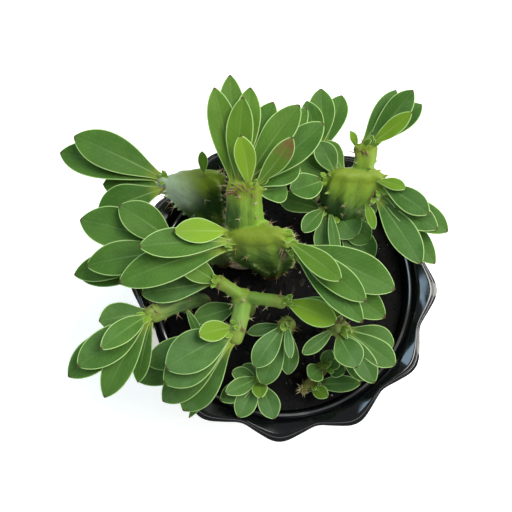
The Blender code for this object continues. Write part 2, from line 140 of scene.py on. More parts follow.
# A stem is its foot (x, y, radius), its limbs and its tufts.
# A limb is a list of sections: x, y, z, half width, half thickness, bearing of the width.
# A tuft is two ends of the edge that its leaves stand on, and the leaves, spaced evenly along it.
# A leaf is its bearing, rise, length and width.
STEMS = {
    "centre_crest": {
        "foot": (-8, 14, 9),
        "limbs": [
            [(-8, 14, 123, 9, 9, 0), (-9, 14, 148, 15, 9, 0), (-12, 15, 170, 21, 10, 0),
             (-15, 17, 189, 23, 10, -3), (-17, 20, 202, 20, 7, -4)],
            [(-23, 18, 180, 11, 7, 0), (-25, 27, 198, 12.5, 8, 0), (-25, 37, 213, 11, 7, 0),
             (-25, 43, 222, 11, 5, 0)],
        ],
        "tufts": [
            ((-38, 18, 201), (-46, 7, 196), [(172, 30, 29, 15), (-177, 22, 46, 18), (-162, 8, 56, 22)]),
            ((4, 14, 201), (1, 4, 196),
             [(-41, 30, 39, 14), (-21, 2, 64, 23), (-35, 16, 53, 17), (-43, 10, 57, 17), (-29, -6, 66, 22)]),
            ((-34, 46, 224), (-16, 44, 222),
             [(99, 22, 53, 16), (91, 8, 62, 16), (83, 30, 48, 15), (82, 12, 55, 15), (69, 0, 54, 15),
              (53, 14, 55, 17), (54, -8, 62, 16), (39, 6, 56, 18), (26, -6, 32, 17), (108, 48, 32, 12),
              (48, 34, 36, 13), (8, -24, 19, 18)]),
            ((-6, 23, 202), (-5, 24, 202), [(-28, 10, 11, 9)]),
        ],
    },
    "left_stem": {
        "foot": (-40, 20, 6.5),
        "limbs": [
            [(-40, 20, 123, 6.5, 6.5, 90), (-44, 19, 148, 7, 6, 90), (-54, 16, 172, 8, 6, 90),
             (-63, 15, 181, 9, 5, 90)],
        ],
        "tufts": [
            ((-67, 18, 184), (-67, 11, 182),
             [(146, 18, 41, 21), (164, 6, 60, 25), (-169, 6, 54, 21), (-170, -8, 66, 18),
              (-168, -12, 62, 18)]),
        ],
    },
    "back_left_crest": {
        "foot": (-46, 40, 8),
        "limbs": [
            [(-46, 40, 123, 8, 8, 0), (-48, 44, 148, 12, 8, 0), (-54, 52, 170, 18, 9, 0),
             (-57, 57, 183, 21, 9, 0)],
        ],
        "tufts": [
            ((-77, 61, 188), (-78, 56, 184),
             [(157, 12, 56, 23), (165, 0, 64, 22), (179, -12, 37, 18), (-152, -6, 43, 24)]),
            ((-50, 59, 188), (-49, 60, 188), [(95, 25, 15, 6)]),
        ],
    },
    "front_fork": {
        "foot": (-25, -14, 7),
        "limbs": [
            [(-25, -14, 123, 7, 7, 0), (-25, -14, 145, 6.5, 6.5, 0), (-26, -12, 166, 7, 6, 0)],
            [(-26, -12, 165, 5, 4.5, 59), (-33, -8, 173, 4, 4, 59), (-40, -4, 177, 4.5, 4, 59)],
            [(-26, -12, 165, 5, 4.5, 81), (-13, -14, 174, 4, 4, 81), (-3, -16, 178, 4.5, 4, 81)],
            [(-26, -13, 164, 6, 5.5, -10), (-28, -26, 172, 5.5, 5, -10), (-31, -37, 173, 5.5, 4.5, -10)],
        ],
        "tufts": [
            ((-41, -2, 180), (-44, -5, 178), [(157, 30, 28, 15), (-171, 4, 45, 17)]),
            ((-1, -14, 180), (0, -18, 178), [(-12, 6, 37, 14), (-24, 22, 35, 16)]),
            ((-30, -30, 176), (-35, -43, 170),
             [(-162, 34, 27, 13), (-149, 14, 48, 25), (-143, 4, 52, 23), (-163, -14, 58, 19),
              (-158, -22, 71, 19), (-139, -12, 58, 21), (-125, -12, 51, 21), (-120, -18, 53, 7)]),
            ((-33, -15, 148), (-34, -15, 148), [(-160, 4, 26, 15)]),
        ],
    },
    "front_left_stem": {
        "foot": (-54, -10, 6),
        "limbs": [
            [(-54, -10, 123, 6, 6, 117), (-56, -11, 145, 5.5, 5.5, 117), (-66, -16, 165, 5, 5, 117),
             (-80, -23, 174, 5.5, 4.5, 117)],
        ],
        "tufts": [
            ((-80, -17, 176), (-87, -30, 174),
             [(-162, 10, 34, 18), (-135, 28, 42, 14), (-140, 12, 54, 22), (-142, -2, 61, 21),
              (-141, 4, 49, 18), (-117, 2, 52, 18), (-96, -8, 36, 11)]),
            ((-63, -19, 160), (-64, -20, 160), [(-58, -12, 20, 6)]),
        ],
    },
    "right_crest": {
        "foot": (40, 40, 8.5),
        "limbs": [
            [(40, 40, 123, 8.5, 8.5, 0), (41, 42, 146, 12, 10, 0), (42, 46, 165, 18, 12, 0),
             (42, 53, 181, 21, 10, 4), (43, 59, 190, 19, 6, 4)],
            [(46, 60, 184, 7, 5, 6), (48, 68, 195, 7, 5, 6), (48, 74, 199, 8, 4, 6)],
        ],
        "tufts": [
            ((21, 54, 184), (36, 67, 188),
             [(-158, 30, 25, 17), (146, 5, 22, 15), (124, 25, 22, 14), (124, 20, 19, 11)]),
            ((20, 48, 164), (38, 41, 164),
             [(-118, 25, 25, 11), (-88, 5, 32, 15), (-83, 20, 38, 7), (-53, 15, 24, 20), (-54, -2, 38, 20),
              (-47, 2, 25, 17)]),
            ((21, 50, 158), (20, 50, 158), [(170, -2, 24, 14)]),
            ((40, 73, 199), (54, 76, 201),
             [(115, 35, 11, 5), (57, 16, 40, 13), (47, 22, 43, 15), (36, 14, 39, 15), (34, 34, 29, 10)]),
            ((59, 59, 190), (55, 37, 180),
             [(-34, 28, 17, 8), (-38, 18, 35, 15), (-33, 4, 48, 18), (-33, 10, 41, 17), (-60, 12, 48, 18),
              (-43, -4, 50, 17), (-99, 25, 14, 6)]),
        ],
    },
    "back_right_stem": {
        "foot": (20, 64, 6),
        "limbs": [
            [(20, 64, 123, 6, 6, 0), (20, 67, 148, 6, 6, 0), (22, 77, 174, 8, 5, 0)],
        ],
        "tufts": [
            ((18, 81, 178), (26, 81, 178), [(103, 20, 29, 15), (89, 10, 37, 17), (71, 4, 36, 15)]),
        ],
    },
    "front_right_stem": {
        "foot": (32, -26, 6),
        "limbs": [
            [(32, -26, 123, 6, 6, 0), (33, -27, 145, 7, 6, 0), (34, -31, 163, 8, 6, 0)],
        ],
        "tufts": [
            ((29, -30, 168), (39, -32, 166),
             [(-139, 4, 26, 9), (-65, 12, 28, 18), (-59, 6, 40, 15), (-65, -10, 36, 16), (-37, 8, 38, 16),
              (-18, -4, 31, 16)]),
        ],
    },
    "front_stem": {
        "foot": (3, -28, 5),
        "limbs": [
            [(3, -28, 123, 5, 5, 0), (2, -28, 150, 5, 5, 0), (1, -28, 164, 6, 5, 0)],
        ],
        "tufts": [
            ((-2, -29, 168), (4, -29, 167),
             [(-124, 4, 32, 15), (-111, -10, 40, 16), (-89, -18, 32, 12), (-91, 14, 22, 6)]),
            ((-2, -29, 147), (-2, -30, 147), [(-172, 5, 22, 8)]),
        ],
    },
    "low_front_stem": {
        "foot": (-14, -56, 5),
        "limbs": [
            [(-14, -56, 123, 5, 5, 0), (-15, -58, 132, 5, 5, 0), (-16, -61, 144, 6, 4, 0)],
        ],
        "tufts": [
            ((-14, -57, 150), (-18, -66, 146),
             [(163, 10, 14, 10), (175, 14, 19, 10), (-154, 20, 25, 11), (-151, 2, 28, 13),
              (-119, 6, 26, 14), (-64, 8, 25, 14), (-71, 45, 12, 10)]),
        ],
    },
    "front_offset": {
        "foot": (24, -55, 5),
        "limbs": [
            [(24, -55, 123, 5, 5, 0), (25, -54, 130, 5, 4, 0), (26, -53, 137, 5, 4, 0)],
            [(23, -57, 124, 4, 4, 60), (18, -63, 127, 4, 4, 60), (14, -67, 128, 4, 4, 60)],
        ],
        "tufts": [
            ((25, -54, 140), (28, -51, 142),
             [(-142, 20, 13, 13), (32, 25, 11, 12), (75, 30, 11, 9), (-28, 8, 13, 12)]),
            ((19, -66, 128), (21, -64, 128), [(-38, 30, 13, 9), (1, 25, 31, 11)]),
        ],
    },
}

# Skin of each stem: how pale with wax it is, and for each of its limbs how fresh it is and how far
# its streaks lean. The freshness also paints light and shade: a low value is painted shade.
SKIN_LOOKS = {
    "centre_crest": (0.03, ((0.32, 1.0), (0.6, 0.0))),
    "left_stem": (0.2, ((0.35, 0.0),)),
    "back_left_crest": (1.0, ((0.2, 0.5),)),
    "front_fork": (0.1, ((0.35, 0.0), (0.55, 0.0), (0.75, 0.0), (0.65, 0.0))),
    # Painted shade: this stem's skin is painted dark because it stands in shade under the leaves.
    "front_left_stem": (0.1, ((-0.15, 0.0),)),
    "right_crest": (0.03, ((0.3, -0.45), (0.75, 0.0))),
    "back_right_stem": (0.2, ((0.3, 0.0),)),
    "front_right_stem": (0.2, ((0.4, 0.0),)),
    "front_stem": (0.1, ((0.45, 0.0),)),
    "low_front_stem": (0.1, ((0.5, 0.0),)),
    "front_offset": (0.1, ((0.5, 0.0), (0.7, 0.0))),
}

# Swellings where limbs grow out of one another: place and radii.
SWELLINGS = {
    "centre_crest": [((-20.0, 24.0, 199.0), (13.0, 8.0, 7.0))],
    "front_fork": [((-26.5, -12.5, 167.0), (7.0, 6.5, 5.0))],
    "right_crest": [((47.0, 62.0, 189.0), (9.0, 6.0, 5.0))],
}

# Middle and radius of the one waxy patch that some stems have in place of an even film.
WAX_PATCHES = {"back_left_crest": ((-70.0, 51.0, 182.0), 16.0)}

# Middle and radius of a patch of painted shade: darker skin painted on the shaded side of some stems.
SHADE_PATCHES = {
    "centre_crest": ((-38.0, 34.0, 205.0), 16.0),
    "right_crest": ((25.0, 43.0, 174.0), 15.0),
    "back_left_crest": ((-44.0, 50.0, 176.0), 15.0),
}

# Stems whose grown leaves have a bluish film, and how thick it is.
LEAF_FILM = {"front_stem": 0.8, "low_front_stem": 0.55, "front_right_stem": 0.45, "front_fork": 0.5,
             "right_crest": 0.3, "front_left_stem": 0.25, "front_offset": 0.3}

# Combs of small pale teeth on the crests' faces: the comb's two ends, and how many teeth it has.
TOOTH_COMBS = {
    "centre_crest": [((-20.0, 7.4, 184.0), (-9.0, 6.0, 150.0), 8),
                     ((-3.5, 8.5, 187.0), (-6.5, 6.5, 160.0), 5)],
    "right_crest": [((57.5, 48.0, 184.5), (45.0, 40.5, 176.5), 7)],
    "back_left_crest": [((-79.0, 54.0, 181.0), (-66.0, 46.0, 160.0), 7)],
}

# Stems with pairs of spines along the growing edge, and how long their spines are for the plant.
CROWN_SPINES = {"back_left_crest": 1.5}

# Painted light: skin whose normal faces this way is painted fresher and lighter, and skin facing away
# is painted darker, as light and shade from this side.
LIT_SIDE = Vector((1.3, 0.1, 0.7))

# Young leaves of each stem, by tuft and leaf: how young each is.
YOUNG_LEAVES = {
    "centre_crest": {(0, 0): 0.9, (1, 0): 0.25, (2, 0): 0.3, (2, 1): 0.25, (2, 2): 0.35, (2, 3): 0.25,
                     (2, 5): 0.2, (2, 9): 1.0, (2, 10): 0.25, (3, 0): 1.0},
    "front_fork": {(0, 0): 0.25, (1, 0): 0.5, (1, 1): 1.0, (2, 0): 0.75},
    "right_crest": {(0, 3): 0.2, (3, 0): 0.7, (3, 4): 0.9, (4, 0): 0.75, (4, 6): 0.5},
    "back_left_crest": {(1, 0): 0.5},
    "low_front_stem": {(0, 6): 0.5},
    "front_offset": {(1, 0): 0.5},
}

# Blushed leaves, by stem, tuft and leaf: how far each is rolled about its own length.
ROLLED_LEAVES = {("centre_crest", 2, 10): 40}

# Area lights: place, target and size in metres, and colour. Their powers are settings.
LIGHTS = {
    "key": ((0.58, 0.26, 1.42), (0.0, 0.0, 0.17), (0.7, 0.7), (1.0, 0.985, 0.95)),
    "window": ((-0.4, 0.24, 1.43), (0.09, 0.0, 0.14), (0.55, 0.36), (0.55, 0.8, 1.0)),
    "back": ((-0.85, 1.05, 0.95), (0.0, 0.0, 0.14), (1.0, 0.14), (0.9, 0.96, 1.0)),
    "side": ((1.25, 0.15, 0.62), (0.0, 0.0, 0.18), (0.5, 0.5), (1.0, 0.99, 0.95)),
}
FLOOR_RADIUS = 4000.0

# Places on the soil, from the photograph's sight lines through them.
DRY_LEAF_PLACE = (-31.0, 15.0, 122.5)
DRY_LEAF_BEARING = -12.0
BUD_PLACE = (13.0, -68.0, 128.0)


def length_of(name, description, millimetres):
    """Property that holds a length."""
    return FloatProperty(name=name, description=description, default=millimetres * MM, min=0.0,
                         precision=5, unit="LENGTH")


def share_of(name, description, value):
    """Property that holds a share from 0 to 1."""
    return FloatProperty(name=name, description=description, default=value, min=0.0, max=1.0,
                         subtype="FACTOR")


def colour_of(name, description, rgb):
    """Property that holds a colour."""
    return FloatVectorProperty(name=name, description=description, default=rgb, size=3, min=0.0,
                               max=1.0, subtype="COLOR")


def count_of(name, description, value):
    """Property that holds a number of things."""
    return IntProperty(name=name, description=description, default=value, min=0)


def strength_of(name, description, value):
    """Property that holds the strength of a glow."""
    return FloatProperty(name=name, description=description, default=value, min=0.0)


def power_of(name, description, watts):
    """Property that holds a light's power."""
    return FloatProperty(name=name, description=description, default=watts, min=0.0, unit="POWER")


def place_of(name, description, metres):
    """Property that holds a place."""
    return FloatVectorProperty(name=name, description=description, default=metres, precision=4,
                               subtype="TRANSLATION", unit="LENGTH")


class MilkTreePotLooks(bpy.types.PropertyGroup):
    """Black plastic pot."""

    rounding: length_of("Rounding", "How far the corners of the wall are rounded", 1.1)
    plastic: colour_of("Plastic", "Colour of the black plastic", (0.0025, 0.003, 0.0042))
    dust: colour_of("Dust", "Colour of the dust and dried splashes on it", (0.05, 0.045, 0.04))
    # Painted highlight: pale line painted on the ledge inside the neck, standing in for its rounded corner
    # catching the light.
    ledge_highlight: colour_of("Scuff", "Colour of the worn ledge inside the neck", (0.12, 0.12, 0.125))
    roughness: share_of("Roughness", "Roughness of the clean plastic", 0.06)


class MilkTreeSoilLooks(bpy.types.PropertyGroup):
    """Potting soil and what lies on it."""

    lump: length_of("Lump height", "Height of the lumps of the soil", 1.6)
    grains: count_of("Grains", "Number of loose grains", 1500)
    chips: count_of("Bark chips", "Number of bark chips", 70)
    bits: count_of("Mineral bits", "Number of white mineral bits", 12)
    dark: colour_of("Damp soil", "Colour of the damp soil", (0.0017, 0.0017, 0.0021))
    light: colour_of("Dry soil", "Colour of the drier crumbs", (0.0068, 0.0058, 0.0056))
    bark: colour_of("Bark", "Colour of the bark chips", (0.03, 0.018, 0.011))
    mineral: colour_of("Mineral", "Colour of the white mineral bits", (0.5, 0.48, 0.44))
    straw: colour_of("Dry leaf", "Colour of the dried leaf", (0.48, 0.36, 0.24))


class MilkTreeStemLooks(bpy.types.PropertyGroup):
    """Skin of the stems."""

    cell: length_of("Skin cell", "Size of the cells of the skin's mesh", 0.7)
    ripple: share_of("Ripple", "Depth of the fine ribs as a share of the half width", 0.022)
    knob: length_of("Knob", "Radius of the knobs under the spines", 1.1)
    tooth: length_of("Tooth", "Height of the teeth along a fan's two edges", 3.4)
    # Old green, also the painted shade where the skin's freshness value is low on its shaded side.
    old_and_shaded: colour_of("Old green", "Colour of the old skin low on a stem", (0.018, 0.055, 0.008))
    # Fresh green, also the painted light on the skin's lit side.
    fresh: colour_of("Fresh green", "Colour of the fresh skin", (0.17, 0.315, 0.028))
    edge: colour_of("Growing edge", "Colour of the skin at the growing edge", (0.155, 0.21, 0.008))
    teeth: colour_of("Teeth", "Colour of the tips of the teeth", (0.42, 0.48, 0.2))
    wax: colour_of("Wax", "Colour of the waxy skin", (0.4, 0.5, 0.36))
    cork: colour_of("Cork", "Colour of the corky foot and of the scars", (0.11, 0.055, 0.022))


class MilkTreeLeafLooks(bpy.types.PropertyGroup):
    """Leaves."""

    rib: length_of("Rib thickness", "Thickness of a blade along its rib", 1.3)
    edge: length_of("Edge thickness", "Thickness of a blade along its margin", 0.4)
    margin: length_of("Margin line", "Width of the pale line along the margin", 0.5)
    wave: length_of("Margin wave", "Height of the waves of the margin", 0.5)
    buds: count_of("Buds", "Number of tiny young leaves in each tuft", 5)
    dark: colour_of("Dark green", "Darker green of the grown leaves", (0.034, 0.098, 0.0095))
    mid: colour_of("Mid green", "Lighter green of the grown leaves", (0.068, 0.158, 0.018))
    young: colour_of("Young green", "Colour of the young leaves", (0.18, 0.31, 0.018))
    bloom: colour_of("Bloom", "Colour of the bluish film on some leaves", (0.1, 0.19, 0.085))
    pale: colour_of("Margin", "Colour of the margin and the rib", (0.37, 0.53, 0.2))
    under: colour_of("Underside", "Colour of the underside", (0.13, 0.22, 0.075))
    base: colour_of("Base", "Colour of the narrow base", (0.26, 0.33, 0.035))
    blush: colour_of("Blush", "Colour of the reddish blush of a few leaves", (0.14, 0.09, 0.028))
    point: colour_of("Point", "Colour of the dry point of a leaf", (0.075, 0.045, 0.02))


class MilkTreeSpineLooks(bpy.types.PropertyGroup):
    """Spines and leaf scars."""

    length: length_of("Length", "Length of a grown spine", 6.2)
    radius: length_of("Radius", "Radius of a spine at its foot", 0.5)
    spacing: length_of("Spacing", "Distance of the knobs along a rib", 6.5)
    brown: colour_of("Brown", "Colour of a spine's foot", (0.17, 0.075, 0.028))
    tip: colour_of("Tip", "Colour of a spine's tip", (0.05, 0.022, 0.012))
    cream: colour_of("Cream", "Colour of the pale spines and scars", (0.5, 0.46, 0.26))


class MilkTreeStageLooks(bpy.types.PropertyGroup):
    """Floor, light and camera."""

    floor: colour_of("Floor", "Colour of the pale floor", (0.9, 0.9, 0.885))
    glow: strength_of("Floor glow", "Light that the overexposed floor gives off", 0.62)
    low_room: colour_of("Low room", "Colour of the room's light near the floor", (0.95, 0.97, 1.0))
    high_room: colour_of("High room", "Colour of the room's light overhead", (0.36, 0.37, 0.34))
    room_strength: strength_of("Room strength", "Strength of the room's light", 0.65)
    key_power: power_of("Key power", "Power of the large soft light", 21.5)
    side_power: power_of("Side power", "Power of the low light on the right", 9.0)
    back_power: power_of("Back power", "Power of the long light at the back", 3.6)
    window_power: power_of("Window power", "Power of the bluish light that the rim reflects", 4.2)
    eye: place_of("Camera place", "Where the camera stands", (-0.018, -0.0782, 0.6915))
    target: place_of("Camera target", "What the camera looks at", (-0.018, 0.019, 0.140))
    lens: FloatProperty(name="Focal length", description="Camera's focal length in millimetres",
                        default=59.66, min=1.0)


class MilkTreeSettings(bpy.types.PropertyGroup):
    """All settings of the milk tree."""

    pot: PointerProperty(type=MilkTreePotLooks)
    soil: PointerProperty(type=MilkTreeSoilLooks)
    stem: PointerProperty(type=MilkTreeStemLooks)
    leaf: PointerProperty(type=MilkTreeLeafLooks)
    spine: PointerProperty(type=MilkTreeSpineLooks)
    stage: PointerProperty(type=MilkTreeStageLooks)


def heading(bearing, rise):
    """Unit vector at a bearing from X and a rise from level."""
    turn = math.radians(bearing)
    lift = math.radians(rise)
    return Vector((math.cos(turn) * math.cos(lift), math.sin(turn) * math.cos(lift), math.sin(lift)))


def smooth(value, start, end):
    """Smooth step from 0 at start to 1 at end."""
    share = min(max((value - start) / (end - start), 0.0), 1.0)
    return share * share * (3.0 - 2.0 * share)


class Heap:
    """Vertices, faces and vertex values gathered for one piece, in millimetres."""

    def __init__(self, *names):
        self.points = []
        self.faces = []
        self.values = {name: [] for name in names}

    def add(self, points, faces, **values):
        """Put in one closed form. A value is one number for all its points, or a list."""
        offset = len(self.points)
        self.points.extend(points)
        self.faces.extend([index + offset for index in face] for face in faces)
        for name, column in self.values.items():
            value = values.get(name, 0.0)
            column.extend(value if isinstance(value, list) else [value] * len(points))


def keep_values(mesh, columns):
    """Keep columns of values at the points of a mesh."""
    for label, column in columns.items():
        layer = mesh.attributes.new(label, "FLOAT", "POINT")
        layer.data.foreach_set("value", np.array(column, dtype=np.float32))


def make_piece(name, heap, material, nodes):
    """Smooth-shaded piece from a heap, that rides on the body and stands for its solids."""
    mesh = bpy.data.meshes.new(name)
    places = np.array([tuple(point) for point in heap.points]) * MM
    mesh.from_pydata(places.tolist(), [], heap.faces)
    keep_values(mesh, heap.values)
    mesh.shade_smooth()
    item = bpy.data.objects.new(name, mesh)
    bpy.context.scene.collection.objects.link(item)
    return dress(item, material, nodes)


def dress(item, material, nodes):
    """Give a piece its material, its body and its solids."""
    item.data.materials.clear()
    item.data.materials.append(material)
    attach(item, "root")
    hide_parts(*nodes)
    return item


def apply_modifiers(item):
    """Turn what an object's modifiers make into its mesh."""
    bpy.context.view_layer.update()
    depsgraph = bpy.context.evaluated_depsgraph_get()
    item.data = bpy.data.meshes.new_from_object(item.evaluated_get(depsgraph))
    item.data.name = item.name
    item.modifiers.clear()


def object_from(name, bm):
    """Object from a bmesh in millimetres."""
    bmesh.ops.scale(bm, vec=(MM, MM, MM), verts=bm.verts)
    mesh = bpy.data.meshes.new(name)
    bm.to_mesh(mesh)
    bm.free()
    item = bpy.data.objects.new(name, mesh)
    bpy.context.scene.collection.objects.link(item)
    return item


class Wire:
    """Output of a shader node, which plain formulas can reckon with."""

    def __init__(self, bench, socket):
        self.bench = bench
        self.socket = socket

    def __add__(self, other):
        return self.bench.math("ADD", self, other)

    def __sub__(self, other):
        return self.bench.math("SUBTRACT", self, other)

    def __rsub__(self, other):
        return self.bench.math("SUBTRACT", other, self)

    def __mul__(self, other):
        return self.bench.math("MULTIPLY", self, other)

    def __truediv__(self, other):
        return self.bench.math("DIVIDE", self, other)

    def __abs__(self):
        return self.bench.math("ABSOLUTE", self)

    def ramp(self, start, end, low=0.0, high=1.0):
        """Smooth ramp from low at start to high at end."""
        feeds = {"Value": self, "From Min": start, "From Max": end, "To Min": low, "To Max": high}
        return self.bench.add("MapRange", feeds, interpolation_type="SMOOTHSTEP")


class Bench:
    """Adds nodes to one tree and links them."""

    def __init__(self, tree):
        self.tree = tree

    def feed(self, node, feeds):
        """Link or set inputs of a node by name or number. A colour that is set is opaque."""
        for key, value in feeds.items():
            socket = node.inputs[key]
            if isinstance(value, Wire):
                self.tree.links.new(value.socket, socket)
            else:
                socket.default_value = (*value, 1.0) if socket.type == "RGBA" else value

    def add(self, kind, feeds, *keys, **settings):
        """Outputs of a new node by name or number, or its first output where no key is given."""
        node = self.tree.nodes.new("ShaderNode" + kind)
        for key, value in settings.items():
            setattr(node, key, value)
        self.feed(node, feeds)
        wires = [Wire(self, node.outputs[key]) for key in keys or (0,)]
        return wires if len(wires) > 1 else wires[0]

    def math(self, operation, first, second=0.0):
        """Result of one calculation."""
        return self.add("Math", {0: first, 1: second}, operation=operation)

    def mix(self, share, first, second):
        """Two colours mixed."""
        return self.add("Mix", {0: share, 6: first, 7: second}, 2, data_type="RGBA")

    def value_of(self, name):
        """Value that the mesh keeps at its points."""
        return self.add("Attribute", {}, "Fac", attribute_name=name)

    def grain(self, place, scale, detail, roughness=0.5):
        """Fractal noise."""
        feeds = {"Vector": place, "Scale": scale, "Detail": detail, "Roughness": roughness}
        return self.add("TexNoise", feeds)

    def group(self, name, feeds, *keys):
        """Outputs of a shared effect, which is made when it is first wanted."""
        tree = bpy.data.node_groups.get(name) or effect_tree(name)
        return self.add("Group", feeds, *keys, node_tree=tree)

    def mottle(self, place, scale, first, second, *keys):
        """Soft patches of two colours."""
        feeds = {"Vector": place, "Scale": scale, "First": first, "Second": second}
        return self.group("soft_mottle", feeds, *keys)

    def cloud(self, place, scale):
        """Mask of soft patches."""
        return self.group("soft_mottle", {"Vector": place, "Scale": scale}, "Mask")

    def specks(self, place, scale, share, size):
        """Mask of small round dots."""
        return self.group("round_specks", {"Vector": place, "Scale": scale, "Share": share, "Size": size})

    def streaks(self, across, along, spacing):
        """Mask of fine streaks."""
        return self.group("fine_streaks", {"Across": across, "Along": along, "Spacing": spacing})

    def finish(self, colour, rough, constants, relief=None, strength=0.0, distance=0.0):
        """Feed the material's shader, with its normal from a relief where there is one."""
        feeds = {"Base Color": colour, "Roughness": rough, **constants}
        if relief is not None:
            feeds["Normal"] = self.add("Bump", {"Strength": strength, "Distance": distance, "Height": relief})
        self.feed(self.tree.nodes["Principled BSDF"], feeds)


def soft_mottle(bench, given):
    """Soft patches of two colours."""
    mask = bench.grain(given["Vector"], given["Scale"], 4.0, 0.6).ramp(0.34, 0.66)
    return {"Colour": bench.mix(mask, given["First"], given["Second"]), "Mask": mask}


def round_specks(bench, given):
    """Small round dots over a share of the surface."""
    feeds = {"Vector": given["Vector"], "Scale": given["Scale"]}
    away, colour = bench.add("TexVoronoi", feeds, "Distance", "Color")
    chosen = bench.math("LESS_THAN", bench.add("SeparateColor", {0: colour}), given["Share"])
    dot = (1.0 - away / given["Size"]).ramp(0.0, 0.45)
    return {"Mask": dot * chosen}


def fine_streaks(bench, given):
    """Fine streaks that run along the second of two distances in millimetres."""
    spot = bench.add("CombineXYZ", {0: given["Across"] / given["Spacing"], 1: given["Along"] * 0.06})
    return {"Mask": bench.grain(spot, 1.0, 3.0, 0.55).ramp(0.32, 0.68)}


def blade_lines(bench, given):
    """Soft lines of a width in millimetres along the edge and the middle of a blade."""
    reach = abs(given["Across"])
    inward = (1.0 - reach) * given["Half Width"]
    outward = reach * given["Half Width"]
    wide = given["Line Width"] * 1.25
    narrow = given["Line Width"] * 0.75
    return {"Edge": inward.ramp(narrow, wide, 1.0, 0.0),
            "Middle": outward.ramp(narrow * 0.3, wide, 1.0, 0.0)}


EFFECTS = {
    "soft_mottle": (soft_mottle, {"Vector": (0, 0, 0), "Scale": 100.0, "First": (0, 0, 0, 1),
                                  "Second": (1, 1, 1, 1)}),
    "round_specks": (round_specks, {"Vector": (0, 0, 0), "Scale": 600.0, "Share": 0.2, "Size": 0.3}),
    "fine_streaks": (fine_streaks, {"Across": 0.0, "Along": 0.0, "Spacing": 1.5}),
    "blade_lines": (blade_lines, {"Across": 0.0, "Half Width": 10.0, "Line Width": 0.6}),
}


def effect_tree(name):
    """Node group of a shared effect, with a named socket for each input and each result."""
    build, inputs = EFFECTS[name]
    tree = bpy.data.node_groups.new(name, "ShaderNodeTree")
    for label, value in inputs.items():
        kind = {3: "Vector", 4: "Color"}[len(value)] if isinstance(value, tuple) else "Float"
        socket = tree.interface.new_socket(label, in_out="INPUT", socket_type="NodeSocket" + kind)
        socket.default_value = value
    bench = Bench(tree)
    source = tree.nodes.new("NodeGroupInput")
    results = build(bench, {label: Wire(bench, source.outputs[label]) for label in inputs})
    for label, wire in results.items():
        kind = "Color" if wire.socket.type == "RGBA" else "Float"
        tree.interface.new_socket(label, in_out="OUTPUT", socket_type="NodeSocket" + kind)
    bench.feed(tree.nodes.new("NodeGroupOutput"), results)
    return tree


def new_material(name):
    """Named material with its bench and the place on the piece, in metres."""
    material = bpy.data.materials.new(name)
    material.use_nodes = True
    bench = Bench(material.node_tree)
    return material, bench, bench.add("TexCoord", {}, "Object")


def dimmed(colour, share):
    """Colour with a share of its light."""
    return tuple(part * share for part in colour)


def plastic_material(looks):
    """Glossy black plastic with a painted highlight line on the neck's ledge, a little dust low in its bends
    and dried splashes.
    """
    material, bench, place = new_material("glossy_black_plastic")
    haze = bench.cloud(place, 26.0)
    grit = bench.specks(place, 420.0, 0.1, 0.32)
    x, y, height = bench.add("SeparateXYZ", {0: place}, 0, 1, 2)
    # Painted highlight: a pale thin line on the ledge inside the neck, where its corner would catch the
    # light.
    radius = bench.math("SQRT", x * x + y * y)
    inward = abs(radius - (NECK_RADIUS - 1.2) * MM)
    upward = abs(height - (NECK_HEIGHT + 1.0) * MM)
    ledge = inward.ramp(0.4 * MM, 1.1 * MM, 1.0, 0.0) * upward.ramp(0.5 * MM, 1.2 * MM, 1.0, 0.0)
    low = height.ramp((SOIL_EDGE - 1.0) * MM, (SOIL_EDGE + 10.0) * MM, 1.0, 0.12)
    dusty = grit * haze * low
    colour = bench.mix(dusty * 0.8, looks.plastic, looks.dust)
    colour = bench.mix(ledge * haze.ramp(0.0, 1.0, 0.4, 1.0), colour, looks.ledge_highlight)
    rough = haze.ramp(0.0, 1.0, looks.roughness, looks.roughness + 0.1) + dusty * 0.5
    bench.finish(colour, rough, {"Specular IOR Level": 0.55}, bench.grain(place, 55.0, 2.0), 0.12, 0.0006)
    return material


def soil_material(looks):
    """Damp potting soil with drier crumbs and tiny mineral grains."""
    material, bench, place = new_material("potting_soil_mix")
    crumbs, dry = bench.mottle(place, 260.0, looks.dark, looks.light, "Colour", "Mask")
    glints = bench.specks(place, 900.0, 0.012, 0.3)
    lighter = bench.mix(bench.value_of("tone") * 0.7, crumbs, looks.light)
    colour = bench.mix(glints * 0.6, lighter, looks.mineral)
    bench.finish(colour, dry.ramp(0.0, 1.0, 0.72, 0.97), {"Specular IOR Level": 0.2},
                 bench.grain(place, 1400.0, 5.0, 0.7), 0.7, 0.0006)
    return material


def litter_material(name, colour, shadow, scale):
    """Dull material of the bits on the soil, with darker grain along them."""
    material, bench, place = new_material(name)
    patches = bench.mottle(place, scale, shadow, colour, "Colour")
    lines = bench.streaks(bench.value_of("across"), bench.value_of("along"), 0.5)
    tint = bench.mix(lines * bench.value_of("tone") * 0.6, patches, shadow)
    bench.finish(tint, 0.85, {}, bench.grain(place, 900.0, 4.0), 0.5, 0.0004)
    return material


